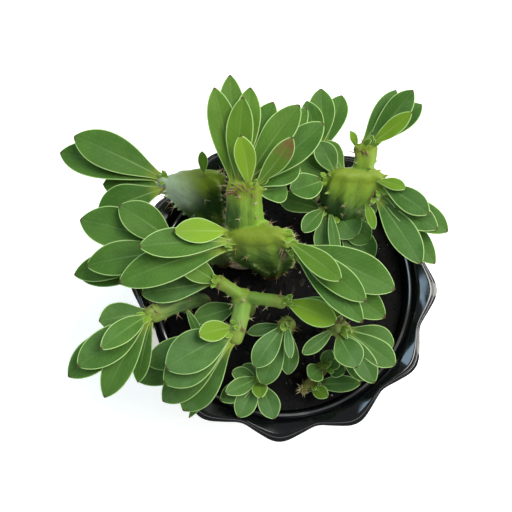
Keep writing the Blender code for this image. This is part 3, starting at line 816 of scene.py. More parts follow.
def skin_material(looks, name, wax):
    """Skin of a stem: old green low down and as painted shade, fresh green also as painted light,
    yellow-green at the growing edge, waxy bloom and scars.
    """
    material, bench, place = new_material(name)
    edge = bench.value_of("edge")
    run = bench.value_of("across"), bench.value_of("along")
    streak = bench.streaks(*run, 1.2)
    band = bench.streaks(*run, 4.2)
    cloud = bench.cloud(place, 75.0)
    rise = streak * 0.2 + band * 0.36 + cloud * 0.08
    # The freshness read here also carries painted light on the skin's lit side and painted shade on its
    # shaded side and in shade patches.
    fresh = bench.value_of("fresh") - 0.34 + rise
    colour = bench.mix(fresh.ramp(-0.1, 1.1), looks.old_and_shaded, looks.fresh)
    growth = edge + rise * 0.7
    colour = bench.mix(growth.ramp(0.3, 1.4, 0.0, 0.9), colour, looks.edge)
    film = bench.cloud(place, 30.0).ramp(0.0, 0.7, 0.55, 1.0) * wax * bench.value_of("bloom")
    film = film * edge.ramp(0.7, 1.0, 1.0, 0.85) * streak.ramp(0.0, 1.0, 0.85, 1.0)
    colour = bench.mix(film, colour, looks.wax)
    colour = bench.mix(bench.specks(place, 330.0, 0.16, 0.2) * 0.3, colour, looks.wax)
    colour = bench.mix(bench.value_of("tooth") * 0.85, colour, looks.teeth)
    scar = (bench.value_of("scar") + cloud * 0.25).ramp(0.5, 1.1)
    height = bench.add("SeparateXYZ", {0: place}, 2)
    foot = (height + cloud * (12.0 * MM)).ramp(CORK_FULL * MM, CORK_TOP * MM, 0.85, 0.0)
    cork = bench.math("MAXIMUM", scar * 0.8, foot)
    colour = bench.mix(cork, colour, looks.cork)
    relief = streak * 0.6 + bench.grain(place, 700.0, 3.0) * 0.5
    rough = cloud.ramp(0.0, 1.0, 0.45, 0.58) + cork * 0.35
    bench.finish(colour, rough, {"Specular IOR Level": 0.22}, relief, 0.35, 0.0005)
    return material


def leaf_material(looks):
    """Succulent leaf: pale margin and rib, faint slanting veins, yellow base, duller underside."""
    material, bench, place = new_material("milk_tree_leaf")
    labels = ("across", "along", "half", "tone", "reach")
    across, along, half, tone, reach = [bench.value_of(label) for label in labels]
    outward = across * half
    cloud = bench.cloud(place, 70.0)
    streak = bench.streaks(outward, reach, 1.9)
    green = bench.mix(cloud * 0.38 + streak * 0.14 + tone * 0.55, looks.dark, looks.mid)
    green = bench.mix(bench.value_of("film") * cloud.ramp(0.0, 1.0, 0.35, 0.85), green, looks.bloom)
    green = bench.mix(bench.value_of("young") * along.ramp(0.0, 1.0, 1.0, 0.8), green, looks.young)
    green = bench.mix(bench.value_of("blush") * along.ramp(0.45, 0.85) * cloud, green, looks.blush)
    feeds = {"Across": across, "Half Width": half, "Line Width": looks.margin / MM}
    margin, middle = bench.group("blade_lines", feeds, "Edge", "Middle")
    slant = reach - abs(outward) * 1.1
    veins = bench.math("SINE", slant * (math.tau / VEIN_SPACING)).ramp(0.55, 1.0) * streak
    green = bench.mix(veins * 0.045, green, looks.pale)
    rib = middle * along.ramp(0.1, 0.9, 0.32, 0.04)
    green = bench.mix(rib, green, looks.pale)
    green = bench.mix(along.ramp(0.03, 0.3, 0.85, 0.0), green, looks.base)
    green = bench.mix((1.0 - bench.value_of("upper")) * 0.55, green, looks.under)
    green = bench.mix(margin * along.ramp(0.08, 0.25, 0.25, 0.85), green, looks.pale)
    colour = bench.mix(along.ramp(0.972, 0.99), green, looks.point)
    relief = bench.grain(place, 520.0, 3.0) * 0.35 - veins * 0.08 - rib * 0.6
    flesh = {"Specular IOR Level": 0.12, "Subsurface Weight": 0.3, "Subsurface Radius": (0.6, 1.0, 0.25),
             "Subsurface Scale": 0.0016}
    bench.finish(colour, cloud.ramp(0.0, 1.0, 0.46, 0.6), flesh, relief, 0.3, 0.0004)
    return material


def spine_material(looks):
    """Horny spines, brown at the foot and dark at the tip, some of them cream."""
    material, bench, place = new_material("milk_tree_spine")
    horn = bench.mix(bench.value_of("reach").ramp(0.15, 0.85), looks.brown, looks.tip)
    mixed = bench.mix(bench.value_of("tone"), horn, looks.cream)
    cloud = bench.cloud(place, 600.0)
    colour = bench.mix(cloud * 0.25, mixed, looks.brown)
    bench.finish(colour, cloud.ramp(0.0, 1.0, 0.4, 0.6), {})
    return material


def floor_material(looks):
    """Plain pale floor."""
    material, bench, place = new_material("stage_floor")
    tint = bench.mottle(place, 2.0, looks.floor, dimmed(looks.floor, 0.985), "Colour")
    glow = {"Specular IOR Level": 0.2, "Emission Color": tint, "Emission Strength": looks.glow}
    bench.finish(tint, 0.8, glow)
    return material


def rounded(profile, radius, steps):
    """Profile with each inner corner turned into a small curve."""
    result = [profile[0]]
    for before, corner, after in zip(profile, profile[1:], profile[2:]):
        before, corner, after = Vector(before), Vector(corner), Vector(after)
        reach = min(radius, 0.45 * (before - corner).length, 0.45 * (after - corner).length)
        start = corner + (before - corner).normalized() * reach
        end = corner + (after - corner).normalized() * reach
        for index in range(steps + 1):
            share = index / steps
            result.append(tuple(start.lerp(corner, share).lerp(corner.lerp(end, share), share)))
    result.append(profile[-1])
    return result


def wall_radius(height):
    """Radius of the pot's outer wall between its foot and its neck."""
    return FOOT_RADIUS + (NECK_RADIUS - FOOT_RADIUS) * height / NECK_HEIGHT


def pot_profile(radius):
    """Up the inside, over a ledge at the neck and a beaded lip, and down the outside to the foot."""
    inner_foot = wall_radius(POT_FLOOR) - POT_WALL
    inner_neck = NECK_RADIUS - POT_WALL
    corners = [
        (0.0, POT_FLOOR),
        (inner_foot, POT_FLOOR),
        (inner_neck - 0.3, NECK_HEIGHT - 3.2),
        (inner_neck - 0.9, NECK_HEIGHT - 1.4),
        (inner_neck - 0.8, NECK_HEIGHT + 0.7),
        (inner_neck + 1.5, NECK_HEIGHT + 1.2),
        (inner_neck + 2.4, NECK_HEIGHT + 3.7),
        (NECK_RADIUS + 2.7, POT_HEIGHT - 2.0),
        (CREST_RADIUS + 1.0, POT_HEIGHT),
        (CREST_RADIUS + 2.4, POT_HEIGHT - 0.3),
        (CREST_RADIUS + 3.0, POT_HEIGHT - 1.4),
        (RIM_RADIUS - 1.4, POT_HEIGHT - 1.4),
        (RIM_RADIUS, POT_HEIGHT - 2.2),
        (RIM_RADIUS - 0.1, POT_HEIGHT - 3.7),
        (RIM_RADIUS - 1.8, POT_HEIGHT - 3.8),
        (CREST_RADIUS, POT_HEIGHT - POT_WALL),
        (NECK_RADIUS + 3.4, POT_HEIGHT - 4.4),
        (NECK_RADIUS, NECK_HEIGHT),
        (FOOT_RADIUS, 1.5),
        (FOOT_RADIUS - 1.5, 0.0),
        (0.0, 0.0),
    ]
    return rounded(corners, radius, 4)


def press_lobes(mesh):
    """Press the lip into lobes that start above the neck and are full at the rim."""
    for vertex in mesh.vertices:
        place = vertex.co / MM
        radius = math.hypot(place.x, place.y)
        share = (radius - NECK_RADIUS) / (RIM_RADIUS - NECK_RADIUS)
        if share > 0.0 and place.z > NECK_HEIGHT:
            turn = math.atan2(place.y, place.x) - math.radians(LOBE_TURN)
            wave = math.cos(LOBES * turn)
            swing = wave - 0.2 * (1.0 + wave) * (1.0 - wave) - 0.35 * max(-wave, 0.0) ** 3
            push = LOBE_DEPTH * min(share, 1.0) * swing
            vertex.co.x *= 1.0 + push / radius
            vertex.co.y *= 1.0 + push / radius


def make_pot(looks):
    """Black plastic pot: a turned wall with a lobed lip and drain holes in its floor."""
    bm = bmesh.new()
    points = [bm.verts.new((radius, 0.0, height)) for radius, height in pot_profile(looks.rounding / MM)]
    for start, end in zip(points, points[1:]):
        bm.edges.new((start, end))
    item = object_from("pot_shell", bm)
    screw = item.modifiers.new("turn", "SCREW")
    screw.steps = LOBES * STEPS_PER_LOBE
    screw.render_steps = screw.steps
    screw.use_merge_vertices = True
    screw.merge_threshold = 0.00001
    cutters = bpy.data.collections.new("drain_cutters")
    for index in range(DRAIN_COUNT):
        bm = bmesh.new()
        spot = heading(45 + 360 * index / DRAIN_COUNT, 0) * DRAIN_CIRCLE
        bmesh.ops.create_cone(bm, cap_ends=True, segments=32, radius1=DRAIN_RADIUS,
                              radius2=DRAIN_RADIUS, depth=4 * POT_FLOOR, matrix=Matrix.Translation(spot))
        cutter = object_from(f"drain_{index}", bm)
        cutters.objects.link(cutter)
    cut = item.modifiers.new("drains", "BOOLEAN")
    cut.operation = "DIFFERENCE"
    cut.operand_type = "COLLECTION"
    cut.collection = cutters
    apply_modifiers(item)
    for cutter in list(cutters.objects):
        bpy.data.objects.remove(cutter, do_unlink=True)
    bpy.data.collections.remove(cutters)
    press_lobes(item.data)
    item.data.shade_smooth()
    item.data.set_sharp_from_angle(angle=math.radians(50))
    return dress(item, plastic_material(looks), ["pot"])


def soil_height(x, y):
    """Level of the soil's crown at a place, before its lumps."""
    share = math.hypot(x, y) / (wall_radius(SOIL_EDGE) - POT_WALL)
    level = SOIL_CROWN - (SOIL_CROWN - SOIL_EDGE) * share ** 2
    for stem in STEMS.values():
        foot_x, foot_y, radius = stem["foot"]
        away = max(math.hypot(x - foot_x, y - foot_y) - radius, 0.0)
        level += 1.3 * math.exp(-(away / 5.0) ** 2) * (1.0 - share ** 4)
    return level


def soil_lump(x, y):
    """Lumps of the soil at a place, from 0 to about 1."""
    coarse = noise.fractal(Vector((x / 9.0, y / 9.0, 3.0)), 0.7, 2.2, 4)
    fine = noise.noise(Vector((x / 1.9, y / 1.9, 7.0)))
    return 0.35 * coarse + 0.3 * fine


def make_soil(looks):
    """Plug of soil with a lumpy crown."""
    bm = bmesh.new()
    cells = 130
    bmesh.ops.create_grid(bm, x_segments=cells, y_segments=cells, size=1.0)
    top_radius = wall_radius(SOIL_EDGE) - POT_WALL - GAP
    lump = looks.lump / MM
    for vertex in bm.verts:
        across, along = vertex.co.x, vertex.co.y
        x = across * math.sqrt(1.0 - along ** 2 / 2) * top_radius
        y = along * math.sqrt(1.0 - across ** 2 / 2) * top_radius
        calm = 1.0 - smooth(math.hypot(x, y), top_radius - 2.5, top_radius)
        vertex.co = (x, y, soil_height(x, y) + lump * soil_lump(x, y) * calm)
    rim = [edge for edge in bm.edges if edge.is_boundary]
    skirt = bmesh.ops.extrude_edge_only(bm, edges=rim)["geom"]
    low = POT_FLOOR + GAP
    shrink = (wall_radius(low) - POT_WALL - GAP) / top_radius
    for vertex in [part for part in skirt if isinstance(part, bmesh.types.BMVert)]:
        vertex.co = (vertex.co.x * shrink, vertex.co.y * shrink, low)
    bmesh.ops.holes_fill(bm, edges=[edge for edge in bm.edges if edge.is_boundary])
    bmesh.ops.recalc_face_normals(bm, faces=bm.faces)
    item = object_from("soil_bed", bm)
    item.data.attributes.new("tone", "FLOAT", "POINT")
    item.data.shade_smooth()
    item.data.set_sharp_from_angle(angle=math.radians(60))
    dress(item, soil_material(looks), ["soil"])
    make_grains(looks, item.data.materials[0])


def random_turn(draws):
    """Random rotation."""
    axis = Vector((draws.gauss(0, 1), draws.gauss(0, 1), draws.gauss(0, 1))).normalized()
    return Quaternion(axis, draws.uniform(0, math.tau)).to_matrix()


def soil_spot(draws, edge):
    """Random spot on the soil within a radius, clear of the stems' feet."""
    while True:
        radius = edge * math.sqrt(draws.random())
        turn = draws.uniform(0, math.tau)
        x, y = radius * math.cos(turn), radius * math.sin(turn)
        clear = all(math.hypot(x - stem["foot"][0], y - stem["foot"][1]) > stem["foot"][2] + 1.0
                    for stem in STEMS.values())
        if clear:
            return Vector((x, y, soil_height(x, y)))


def ball_points(level):
    """Points and faces of a unit ball with flat triangles."""
    bm = bmesh.new()
    bmesh.ops.create_icosphere(bm, subdivisions=level, radius=1.0)
    bm.verts.index_update()
    points = [vertex.co.copy() for vertex in bm.verts]
    faces = [[vertex.index for vertex in face.verts] for face in bm.faces]
    bm.free()
    return points, faces


def scatter(heap, draws, count, sizes, shape, edge):
    """Put rough lumps on the soil, each a ball that is pressed, jittered and turned."""
    points, faces = ball_points(2 if sizes[1] > 1.5 else 1)
    for _ in range(count):
        size = sizes[0] + (sizes[1] - sizes[0]) * draws.random() ** 2.2
        spot = soil_spot(draws, edge)
        turn = random_turn(draws)
        if shape[2] < 0.5:
            turn = Matrix.Rotation(draws.uniform(0, math.tau), 3, "Z") @ Matrix.Rotation(
                draws.uniform(-0.35, 0.35), 3, "X")
        stretch = Vector((shape[0] * draws.uniform(0.7, 1.3), shape[1] * draws.uniform(0.7, 1.3), shape[2]))
        seed = Vector((draws.uniform(0, 90), draws.uniform(0, 90), 0.0))
        placed = []
        for point in points:
            rough = 1.0 + 0.45 * noise.noise(point * 1.3 + seed)
            placed.append(spot + turn @ (Vector(map(float.__mul__, point, stretch)) * rough * size))
        heap.add(placed, faces, tone=draws.random(), across=[point.x * 3 for point in points],
                 along=[point.y * 3 for point in points])


def make_grains(looks, soil):
    """Loose crumbs, bark chips and white mineral bits on the soil."""
    draws = random.Random("grains")
    edge = wall_radius(SOIL_EDGE) - POT_WALL - 3.0
    bark = litter_material("bark_chip", looks.bark, looks.dark, 300.0)
    white = litter_material("mineral_bit", looks.mineral, dimmed(looks.mineral, 0.6), 500.0)
    for name, material, count, sizes, shape, reach in (
            ("soil_grains", soil, looks.grains, (0.5, 1.45), (1.0, 1.0, 0.8), edge),
            ("bark_chips", bark, looks.chips, (1.3, 3.6), (1.5, 0.8, 0.3), edge - 3.0),
            ("mineral_bits", white, looks.bits, (0.45, 1.3), (1.0, 0.9, 0.8), edge)):
        heap = Heap("tone", "across", "along")
        scatter(heap, draws, count, sizes, shape, reach)
        make_piece(name, heap, material, ["soil"])


def make_dry_leaf(looks):
    """Curled dry leaf that lies on the soil."""
    heap = Heap("tone", "across", "along")
    draws = random.Random("dry leaf")
    forward = heading(DRY_LEAF_BEARING, 0)
    side = UP.cross(forward)
    stations, sides = 24, 10
    for offset, span, width, lift in ((0.0, 17.0, 4.6, 1.2), (3.6, 12.0, 3.4, 0.6)):
        middle = Vector(DRY_LEAF_PLACE) + side * offset
        points = []
        for layer in (0.0, 0.35):
            for row in range(stations + 1):
                t = row / stations
                half = width * math.sin(math.pi * (0.06 + 0.9 * t)) ** 0.7
                for column in range(sides + 1):
                    s = 2 * column / sides - 1
                    curl = 1.7 * s
                    wobble = 0.35 * noise.noise(Vector((t * 4, s * 2, offset)))
                    place = (middle + forward * (span * (t - 0.5)) + side * (half * math.sin(curl) * 0.5)
                             + UP * (lift + half * 0.4 * (1 - math.cos(curl)) + wobble
                                     + 2.2 * (2 * t - 1) ** 2 + layer))
                    points.append(place)
        heap.add(points, shell_faces(stations, sides), tone=draws.uniform(0.6, 1.0),
                 across=[(index % (sides + 1)) * 0.5 for index in range(len(points))], along=0.0)
    straw = litter_material("dry_leaf", looks.straw, dimmed(looks.straw, 0.45), 160.0)
    make_piece("dry_leaf", heap, straw, ["soil"])


def shell_faces(rows, columns):
    """Faces of a thin shell whose lower layer's points come before the upper layer's."""
    wide = columns + 1
    layer = (rows + 1) * wide
    faces = []
    for row in range(rows):
        for column in range(columns):
            a = row * wide + column
            faces.append([a, a + wide, a + wide + 1, a + 1])
            faces.append([layer + a, layer + a + 1, layer + a + wide + 1, layer + a + wide])
    for row in range(rows):
        a = row * wide
        b = a + columns
        faces.append([a, layer + a, layer + a + wide, a + wide])
        faces.append([b, b + wide, layer + b + wide, layer + b])
    for column in range(columns):
        a = column
        b = rows * wide + column
        faces.append([a, a + 1, layer + a + 1, layer + a])
        faces.append([b, layer + b, layer + b + 1, b + 1])
    return faces


def ribs_for(sections):
    """Number of ribs round a limb with these sections."""
    return round(LEAST_RIBS + max(section[3] for section in sections) / RIB_SPACING)


def smooth_sections(sections, step):
    """Sections read off one smooth curve through the given ones, about a step apart."""
    rows = np.array(sections, dtype=float)
    padded = np.vstack([rows[:1], rows, rows[-1:]])
    result = []
    for before, start, end, after in zip(padded, padded[1:], padded[2:], padded[3:]):
        count = max(1, round(float(np.linalg.norm(end[:3] - start[:3])) / step))
        for index in range(count):
            u = index / count
            result.append(0.5 * (2 * start + (end - before) * u
                                 + (2 * before - 5 * start + 4 * end - after) * u ** 2
                                 + (3 * start - before - 3 * end + after) * u ** 3))
    result.append(rows[-1])
    return result


def limb_rings(sections, step, closing):
    """Rings round each section: centre, wide axis, thin axis, and distance along the limb."""
    rows = smooth_sections(sections, step)
    centres = [Vector(row[:3]) for row in rows]
    rings = []
    run = 0.0
    for index, row in enumerate(rows):
        ahead = centres[min(index + 1, len(rows) - 1)]
        behind = centres[max(index - 1, 0)]
        along = (ahead - behind).normalized()
        wide = heading(row[5], 0)
        wide = (wide - along * wide.dot(along)).normalized()
        run += (centres[index] - behind).length if index else 0.0
        rings.append((centres[index], wide * row[3], along.cross(wide) * row[4], run))
    centre, wide, thin, run = rings[-1]
    for lift, broad, slim in closing:
        rise = thin.length * lift
        rings.append((centre + along * rise, wide * broad, thin * slim, run + rise))
    return rings


def fine_end():
    """Rings that close a limb with a smooth round edge."""
    rings = []
    for index in range(1, FINE_END_RINGS + 1):
        turn = math.pi / 2 * index / FINE_END_RINGS
        fall = math.cos(turn) ** 0.8
        rings.append((0.95 * math.sin(turn), 0.42 + 0.58 * fall, 0.04 + 0.96 * fall))
    return rings


def ring_point(ring, ribs, turn, ripple=0.0):
    """Point of an oval ring at a turn from its wide axis, on or between its ribs."""
    centre, wide, thin, run = ring
    share = 1.0 - RIB_DEPTH * (0.5 - 0.5 * math.cos(ribs * turn))
    share -= ripple * (0.5 - 0.5 * math.cos(3 * ribs * turn + 0.6 * math.sin(run / 9.0)))
    return centre + (wide * math.cos(turn) + thin * math.sin(turn)) * share


def tube_faces(rows, sides):
    """Faces round the rows of a tube's points, with a cap on each end."""
    faces = []
    for row in range(rows - 1):
        for index in range(sides):
            a = row * sides + index
            b = row * sides + (index + 1) % sides
            faces.append([a, b, b + sides, a + sides])
    faces.append(list(range(sides))[::-1])
    faces.append([(rows - 1) * sides + index for index in range(sides)])
    return faces


def loft(rings, ribs, sides, ripple):
    """Points and faces of a closed limb through its rings."""
    turns = [math.tau * index / sides for index in range(sides)]
    points = [ring_point(ring, ribs, turn, ripple) for ring in rings for turn in turns]
    return points, tube_faces(len(rings), sides)


def coarse_skin(stem):
    """Search tree of the limbs as the solids have them."""
    heap = Heap()
    for sections in stem["limbs"]:
        ribs = ribs_for(sections)
        heap.add(*loft(limb_rings(sections, COARSE_STEP, COARSE_END), ribs, 2 * ribs, 0.0))
    return BVHTree.FromPolygons(heap.points, heap.faces)


def leaf_seats(name, stem):
    """Each leaf with its roll, its seat on the skin, the normal there, its tip, youth and draws."""
    skin = coarse_skin(stem)
    for tuft, (start, end, leaves) in enumerate(stem["tufts"]):
        for index, leaf in enumerate(leaves):
            bearing, rise, length = leaf[:3]
            spot = Vector(start).lerp(Vector(end), (index + 0.5) / len(leaves)) + UP * SEAT_CLIMB * rise
            tip = spot + heading(bearing, rise) * length
            seat, normal = skin.find_nearest(spot)[:2]
            young = YOUNG_LEAVES.get(name, {}).get((tuft, index), 0.0)
            rolled = (*leaf, ROLLED_LEAVES.get((name, tuft, index), 0))
            yield rolled, seat, normal, tip, young, random.Random(f"{name} {tuft} {index}")


def knob_spots(name, stem, spacing):
    """Places of the spiny knobs: along the ribs, close at a fan's two edges and sparse on its faces."""
    draws = random.Random(name + " knobs")
    for sections in stem["limbs"]:
        ribs = ribs_for(sections)
        rings = limb_rings(sections, FINE_STEP, fine_end())
        for rib in range(ribs):
            turn = math.tau * rib / ribs
            target = spacing * (0.4 + 0.5 * (rib % 2))
            last = 4 if max(row[3] for row in sections) > 8.0 else FINE_END_RINGS + 3
            for ring in rings[:-last]:
                if ring[3] < target:
                    continue
                toothed = is_fan_edge(ring, turn)
                target += spacing * draws.uniform(0.8, 1.25) * (0.75 if toothed else 1.3)
                fan = ring[1].length > 1.6 * ring[2].length
                slim = 0.3 if stem["foot"][2] < 6.5 else 0.6
                kept = draws.random() < (0.9 if toothed else 0.2 if fan else slim)
                spot = ring_point(ring, ribs, turn)
                if kept and spot.z > SOIL_CROWN + FOOT_RISE:
                    yield spot, (spot - ring[0]).normalized(), draws.uniform(0.6, 1.0), toothed
        if name in CROWN_SPINES:
            centre, wide, thin = rings[-FINE_END_RINGS - 1][:3]
            out = (thin.normalized() + UP * 0.6).normalized()
            count = round(2 * wide.length / spacing)
            for index in range(count):
                share = (index + draws.uniform(0.25, 0.75)) / count * 2 - 1
                lift = math.sqrt(1 - share ** 2)
                yield centre + wide * share + thin * 0.4 * lift + UP * 5.0 * lift, out, 1.0, False


def comb_spots(name, skin):
    """Places of the teeth of a stem's combs: a spot on the skin, the way out of it, and the size."""
    draws = random.Random(name + " comb")
    for start, end, count in TOOTH_COMBS.get(name, []):
        for index in range(count):
            spot = Vector(start).lerp(Vector(end), (index + draws.uniform(0.35, 0.65)) / count)
            seat, normal = skin.find_nearest(spot)[:2]
            yield seat, (normal + UP * 0.35).normalized(), draws.uniform(0.55, 0.9)


def is_fan_edge(ring, turn):
    """Whether a turn round a ring is at one of the two narrow edges of a fan."""
    return ring[1].length > 1.8 * ring[2].length and abs(math.cos(turn)) > 0.8


def add_ball(bm, place, radii, point=UP):
    """Ellipsoid in a bmesh, with its third radius towards a point."""
    turn = UP.rotation_difference(point).to_matrix().to_4x4()
    matrix = Matrix.Translation(place) @ turn @ Matrix.Diagonal((*radii, 1.0))
    bmesh.ops.create_icosphere(bm, subdivisions=3 if radii[0] > 4.0 else 2, radius=1.0, matrix=matrix)


def add_limbs(bm, name, stem, ripple):
    """Put a stem's limbs in a bmesh, and return the guide to their skin.

    A row of it is a place, and there the way to the limb's end, the place across the streaks, the
    way from the limb's foot, and how fresh the limb is, which also paints its skin lighter and darker as
    light and shade.
    """
    guide = []
    for sections, (base, lean) in zip(stem["limbs"], SKIN_LOOKS[name][1]):
        ribs = ribs_for(sections)
        sides = SIDES_PER_RIB * ribs
        rings = limb_rings(sections, FINE_STEP, fine_end())
        points, faces = loft(rings, ribs, sides, ripple)
        verts = [bm.verts.new(point) for point in points]
        for face in faces:
            bm.faces.new([verts[index] for index in face])
        end = rings[-1][3]
        girth = max(math.pi * (ring[1].length + ring[2].length) for ring in rings)
        for index, point in enumerate(points):
            run = rings[index // sides][3]
            arc = girth * (index % sides) / sides
            guide.append((point, end - run, arc + lean * run, run, base))
    return guide


def add_knobs(bm, name, stem, looks, spacing):
    """Put a stem's knobs and teeth in a bmesh, and return the places of its scars and teeth."""
    knob, tooth = looks.knob / MM, looks.tooth / MM
    scars = []
    teeth = []
    for spot, out, size, toothed in knob_spots(name, stem, spacing):
        if toothed:
            point = (out + UP * 0.7).normalized()
            add_ball(bm, spot, (knob * 0.85, knob * 0.85, tooth * size), point)
            teeth.append(spot + point * tooth * size)
        else:
            add_ball(bm, spot, (knob * size, knob * size, knob * size))
            scars.append(spot + out * knob * size)
    for spot, out, size in comb_spots(name, coarse_skin(stem)):
        add_ball(bm, spot, (knob * 0.6, knob * 0.6, tooth * size), out)
        teeth.append(spot + out * tooth * size)
    return scars, teeth


def make_skin(name, stem, looks, spacing):
    """Skin of one stem: its limbs, foot, knobs and leaf cushions grown into one smooth surface."""
    bm = bmesh.new()
    x, y, radius = stem["foot"]
    depth = HOLE_DEPTH + FOOT_RISE
    middle = (x, y, SOIL_CROWN - HOLE_DEPTH + depth / 2)
    bmesh.ops.create_cone(bm, cap_ends=True, segments=32, radius1=radius, radius2=radius, depth=depth,
                          matrix=Matrix.Translation(middle))
    guide = add_limbs(bm, name, stem, looks.ripple)
    scars, teeth = add_knobs(bm, name, stem, looks, spacing)
    for place, radii in SWELLINGS.get(name, []):
        add_ball(bm, place, radii)
    for leaf, seat, normal, tip, _, _ in leaf_seats(name, stem):
        forward = (tip - seat).normalized()
        half = max(0.1 * leaf[3], 0.6)
        add_ball(bm, seat + forward * 0.4, (half + 0.7, half + 0.7, half + 1.9), forward)
        if leaf[2] > LEAST_SPINY_LEAF:
            scars.append(seat + normal * 1.5 - UP * 1.2)
    bmesh.ops.triangulate(bm, faces=bm.faces)
    item = object_from(name + "_skin", bm)
    weld = item.modifiers.new("grow", "REMESH")
    weld.mode = "VOXEL"
    weld.voxel_size = looks.cell
    weld.use_smooth_shade = True
    relax = item.modifiers.new("relax", "SMOOTH")
    relax.factor = 0.5
    relax.iterations = 4
    apply_modifiers(item)
    mark_skin(item.data, guide, scars, teeth, WAX_PATCHES.get(name), SHADE_PATCHES.get(name))
    dress(item, skin_material(looks, name + "_skin", SKIN_LOOKS[name][0]), [name])


def search_tree(places):
    """Search tree of places."""
    tree = KDTree(len(places))
    for index, place in enumerate(places):
        tree.insert(place, index)
    tree.balance()
    return tree


def nearness(tree, place, reach):
    """1 at the nearest place of a search tree, and 0 well beyond a reach from it."""
    away = tree.find(place)[2]
    return 0.0 if away is None else math.exp(-(away / reach) ** 2)


def guide_values(near, guide, place):
    """Values of the guide at a place, blended from its nearest points on one side of its seam."""
    found = near.find_n(place, 5)
    first = guide[found[0][1]]
    total = np.zeros(4)
    weight = 0.0
    for _, index, away in found:
        row = guide[index]
        if abs(row[2] - first[2]) < 8.0:
            share = 1.0 / (away + 0.3) ** 2
            total += share * np.array(row[1:])
            weight += share
    return total / weight


def patch_share(patch, place):
    """1 in the middle of a round patch and 0 outside it."""
    middle, radius = patch
    return math.exp(-((place - Vector(middle)).length / radius) ** 4)


def mark_skin(mesh, guide, scars, teeth, waxed, shaded):
    """Give the skin its gentle unevenness and the values that its material reads."""
    near = search_tree([row[0] for row in guide])
    marks = search_tree(scars)
    points = search_tree(teeth)
    rows = []
    places = [vertex.co / MM for vertex in mesh.vertices]
    normals = [vertex.normal.copy() for vertex in mesh.vertices]
    moved = []
    for place, normal in zip(places, normals):
        to_end, arc, run, base = guide_values(near, guide, place)
        edge = math.exp(-(to_end / EDGE_DEPTH) ** 2)
        # Painted light and shade: the skin is painted fresher and lighter the more it faces the lit side, and
        # darker facing away.
        fresh = base + 0.5 * edge + 0.3 * normal.dot(LIT_SIDE)
        bloom = patch_share(waxed, place) if waxed else 1.0
        # Painted shade: inside a shade patch the skin is painted darker.
        if shaded:
            fresh -= 0.6 * patch_share(shaded, place)
        rows.append((edge, arc, run, nearness(marks, place, SCAR_REACH), fresh, bloom,
                     nearness(points, place, TOOTH_REACH)))
        swell = noise.noise(place / 6.0) * 0.35 + noise.noise(place / 2.2) * 0.1
        moved.extend((place + normal * swell) * MM)
    mesh.vertices.foreach_set("co", moved)
    labels = ("edge", "across", "along", "scar", "fresh", "bloom", "tooth")
    keep_values(mesh, dict(zip(labels, zip(*rows))))
    mesh.update()


def leaf_outline(t, widest):
    """Share of a leaf's half width at t along it: a narrow root, a broad end and a short point."""
    if t < widest:
        swell = math.sin(math.pi / 2 * (t / widest) ** 1.1) ** 1.25
    else:
        swell = max(1.0 - ((t - widest) / (1.0 - widest)) ** 2.2, 0.0) ** 0.76
    return max(math.hypot(swell, ROOT_SHARE * (1.0 - t) ** 2), 0.03)


def grow_leaf(heap, looks, root, tip, leaf, young, film, draws):
    """Closed thin blade with a thick rib, a fine margin, a fold, a bow, a twist and a wavy edge."""
    width, roll = leaf[3:]
    reach = (tip - root).length
    along = (tip - root).normalized()
    side = Matrix.Rotation(math.radians(roll), 3, along) @ along.cross(UP).normalized()
    lift = side.cross(along)
    widest = WIDEST_AT + draws.uniform(-0.035, 0.03)
    bow = BOW * draws.uniform(0.4, 1.5)
    twist = math.radians(draws.uniform(-9, 9))
    droop = draws.uniform(-0.02, 0.035)
    sway = draws.uniform(-0.025, 0.025)
    wave = looks.wave / MM * draws.uniform(0.3, 1.2) * min(width / 18.0, 1.0)
    beats = draws.uniform(1.6, 3.2)
    phase = draws.uniform(0, math.tau)
    rib, edge = looks.rib / MM, looks.edge / MM
    points = []
    rows = []
    for row in range(LEAF_STATIONS + 1):
        share = row / LEAF_STATIONS
        t = 0.55 * share + 0.45 * (0.5 - 0.5 * math.cos(math.pi * share))
        half = 0.5 * width * leaf_outline(t, widest)
        turn = twist * (t - 0.3)
        out = side * math.cos(turn) + lift * math.sin(turn)
        top = lift * math.cos(turn) - side * math.sin(turn)
        middle = (root + along * reach * t + lift * reach * (bow * 4 * t * (1 - t) - droop * t ** 3)
                  + side * reach * sway * math.sin(math.pi * t))
        thick = rib + 0.8 * math.exp(-t / 0.1) - 0.45 * smooth(t, 0.75, 1.0)
        for s, face in LEAF_LOOP:
            bend = math.sqrt(s * s + 0.02) - 0.14
            rise = FOLD * half * bend + wave * s * s * math.sin(beats * math.tau * t + phase + s)
            depth = min(edge + (thick - edge) * (1.0 - abs(s) ** 1.6), 1.6 * half + 0.25)
            points.append(middle + out * (s * half) + top * (rise + 0.5 * face * depth))
            rows.append((s, t, half / min(0.1 * width, 1.0), 0.5 + 0.5 * face, t * reach))
    faces = [face[:1] + face[:0:-1] for face in tube_faces(LEAF_STATIONS + 1, len(LEAF_LOOP))]
    columns = zip(("across", "along", "half", "upper", "reach"), map(list, zip(*rows)))
    heap.add(points, faces, young=young, film=film, tone=draws.random(), blush=1.0 if roll else 0.0,
             **dict(columns))


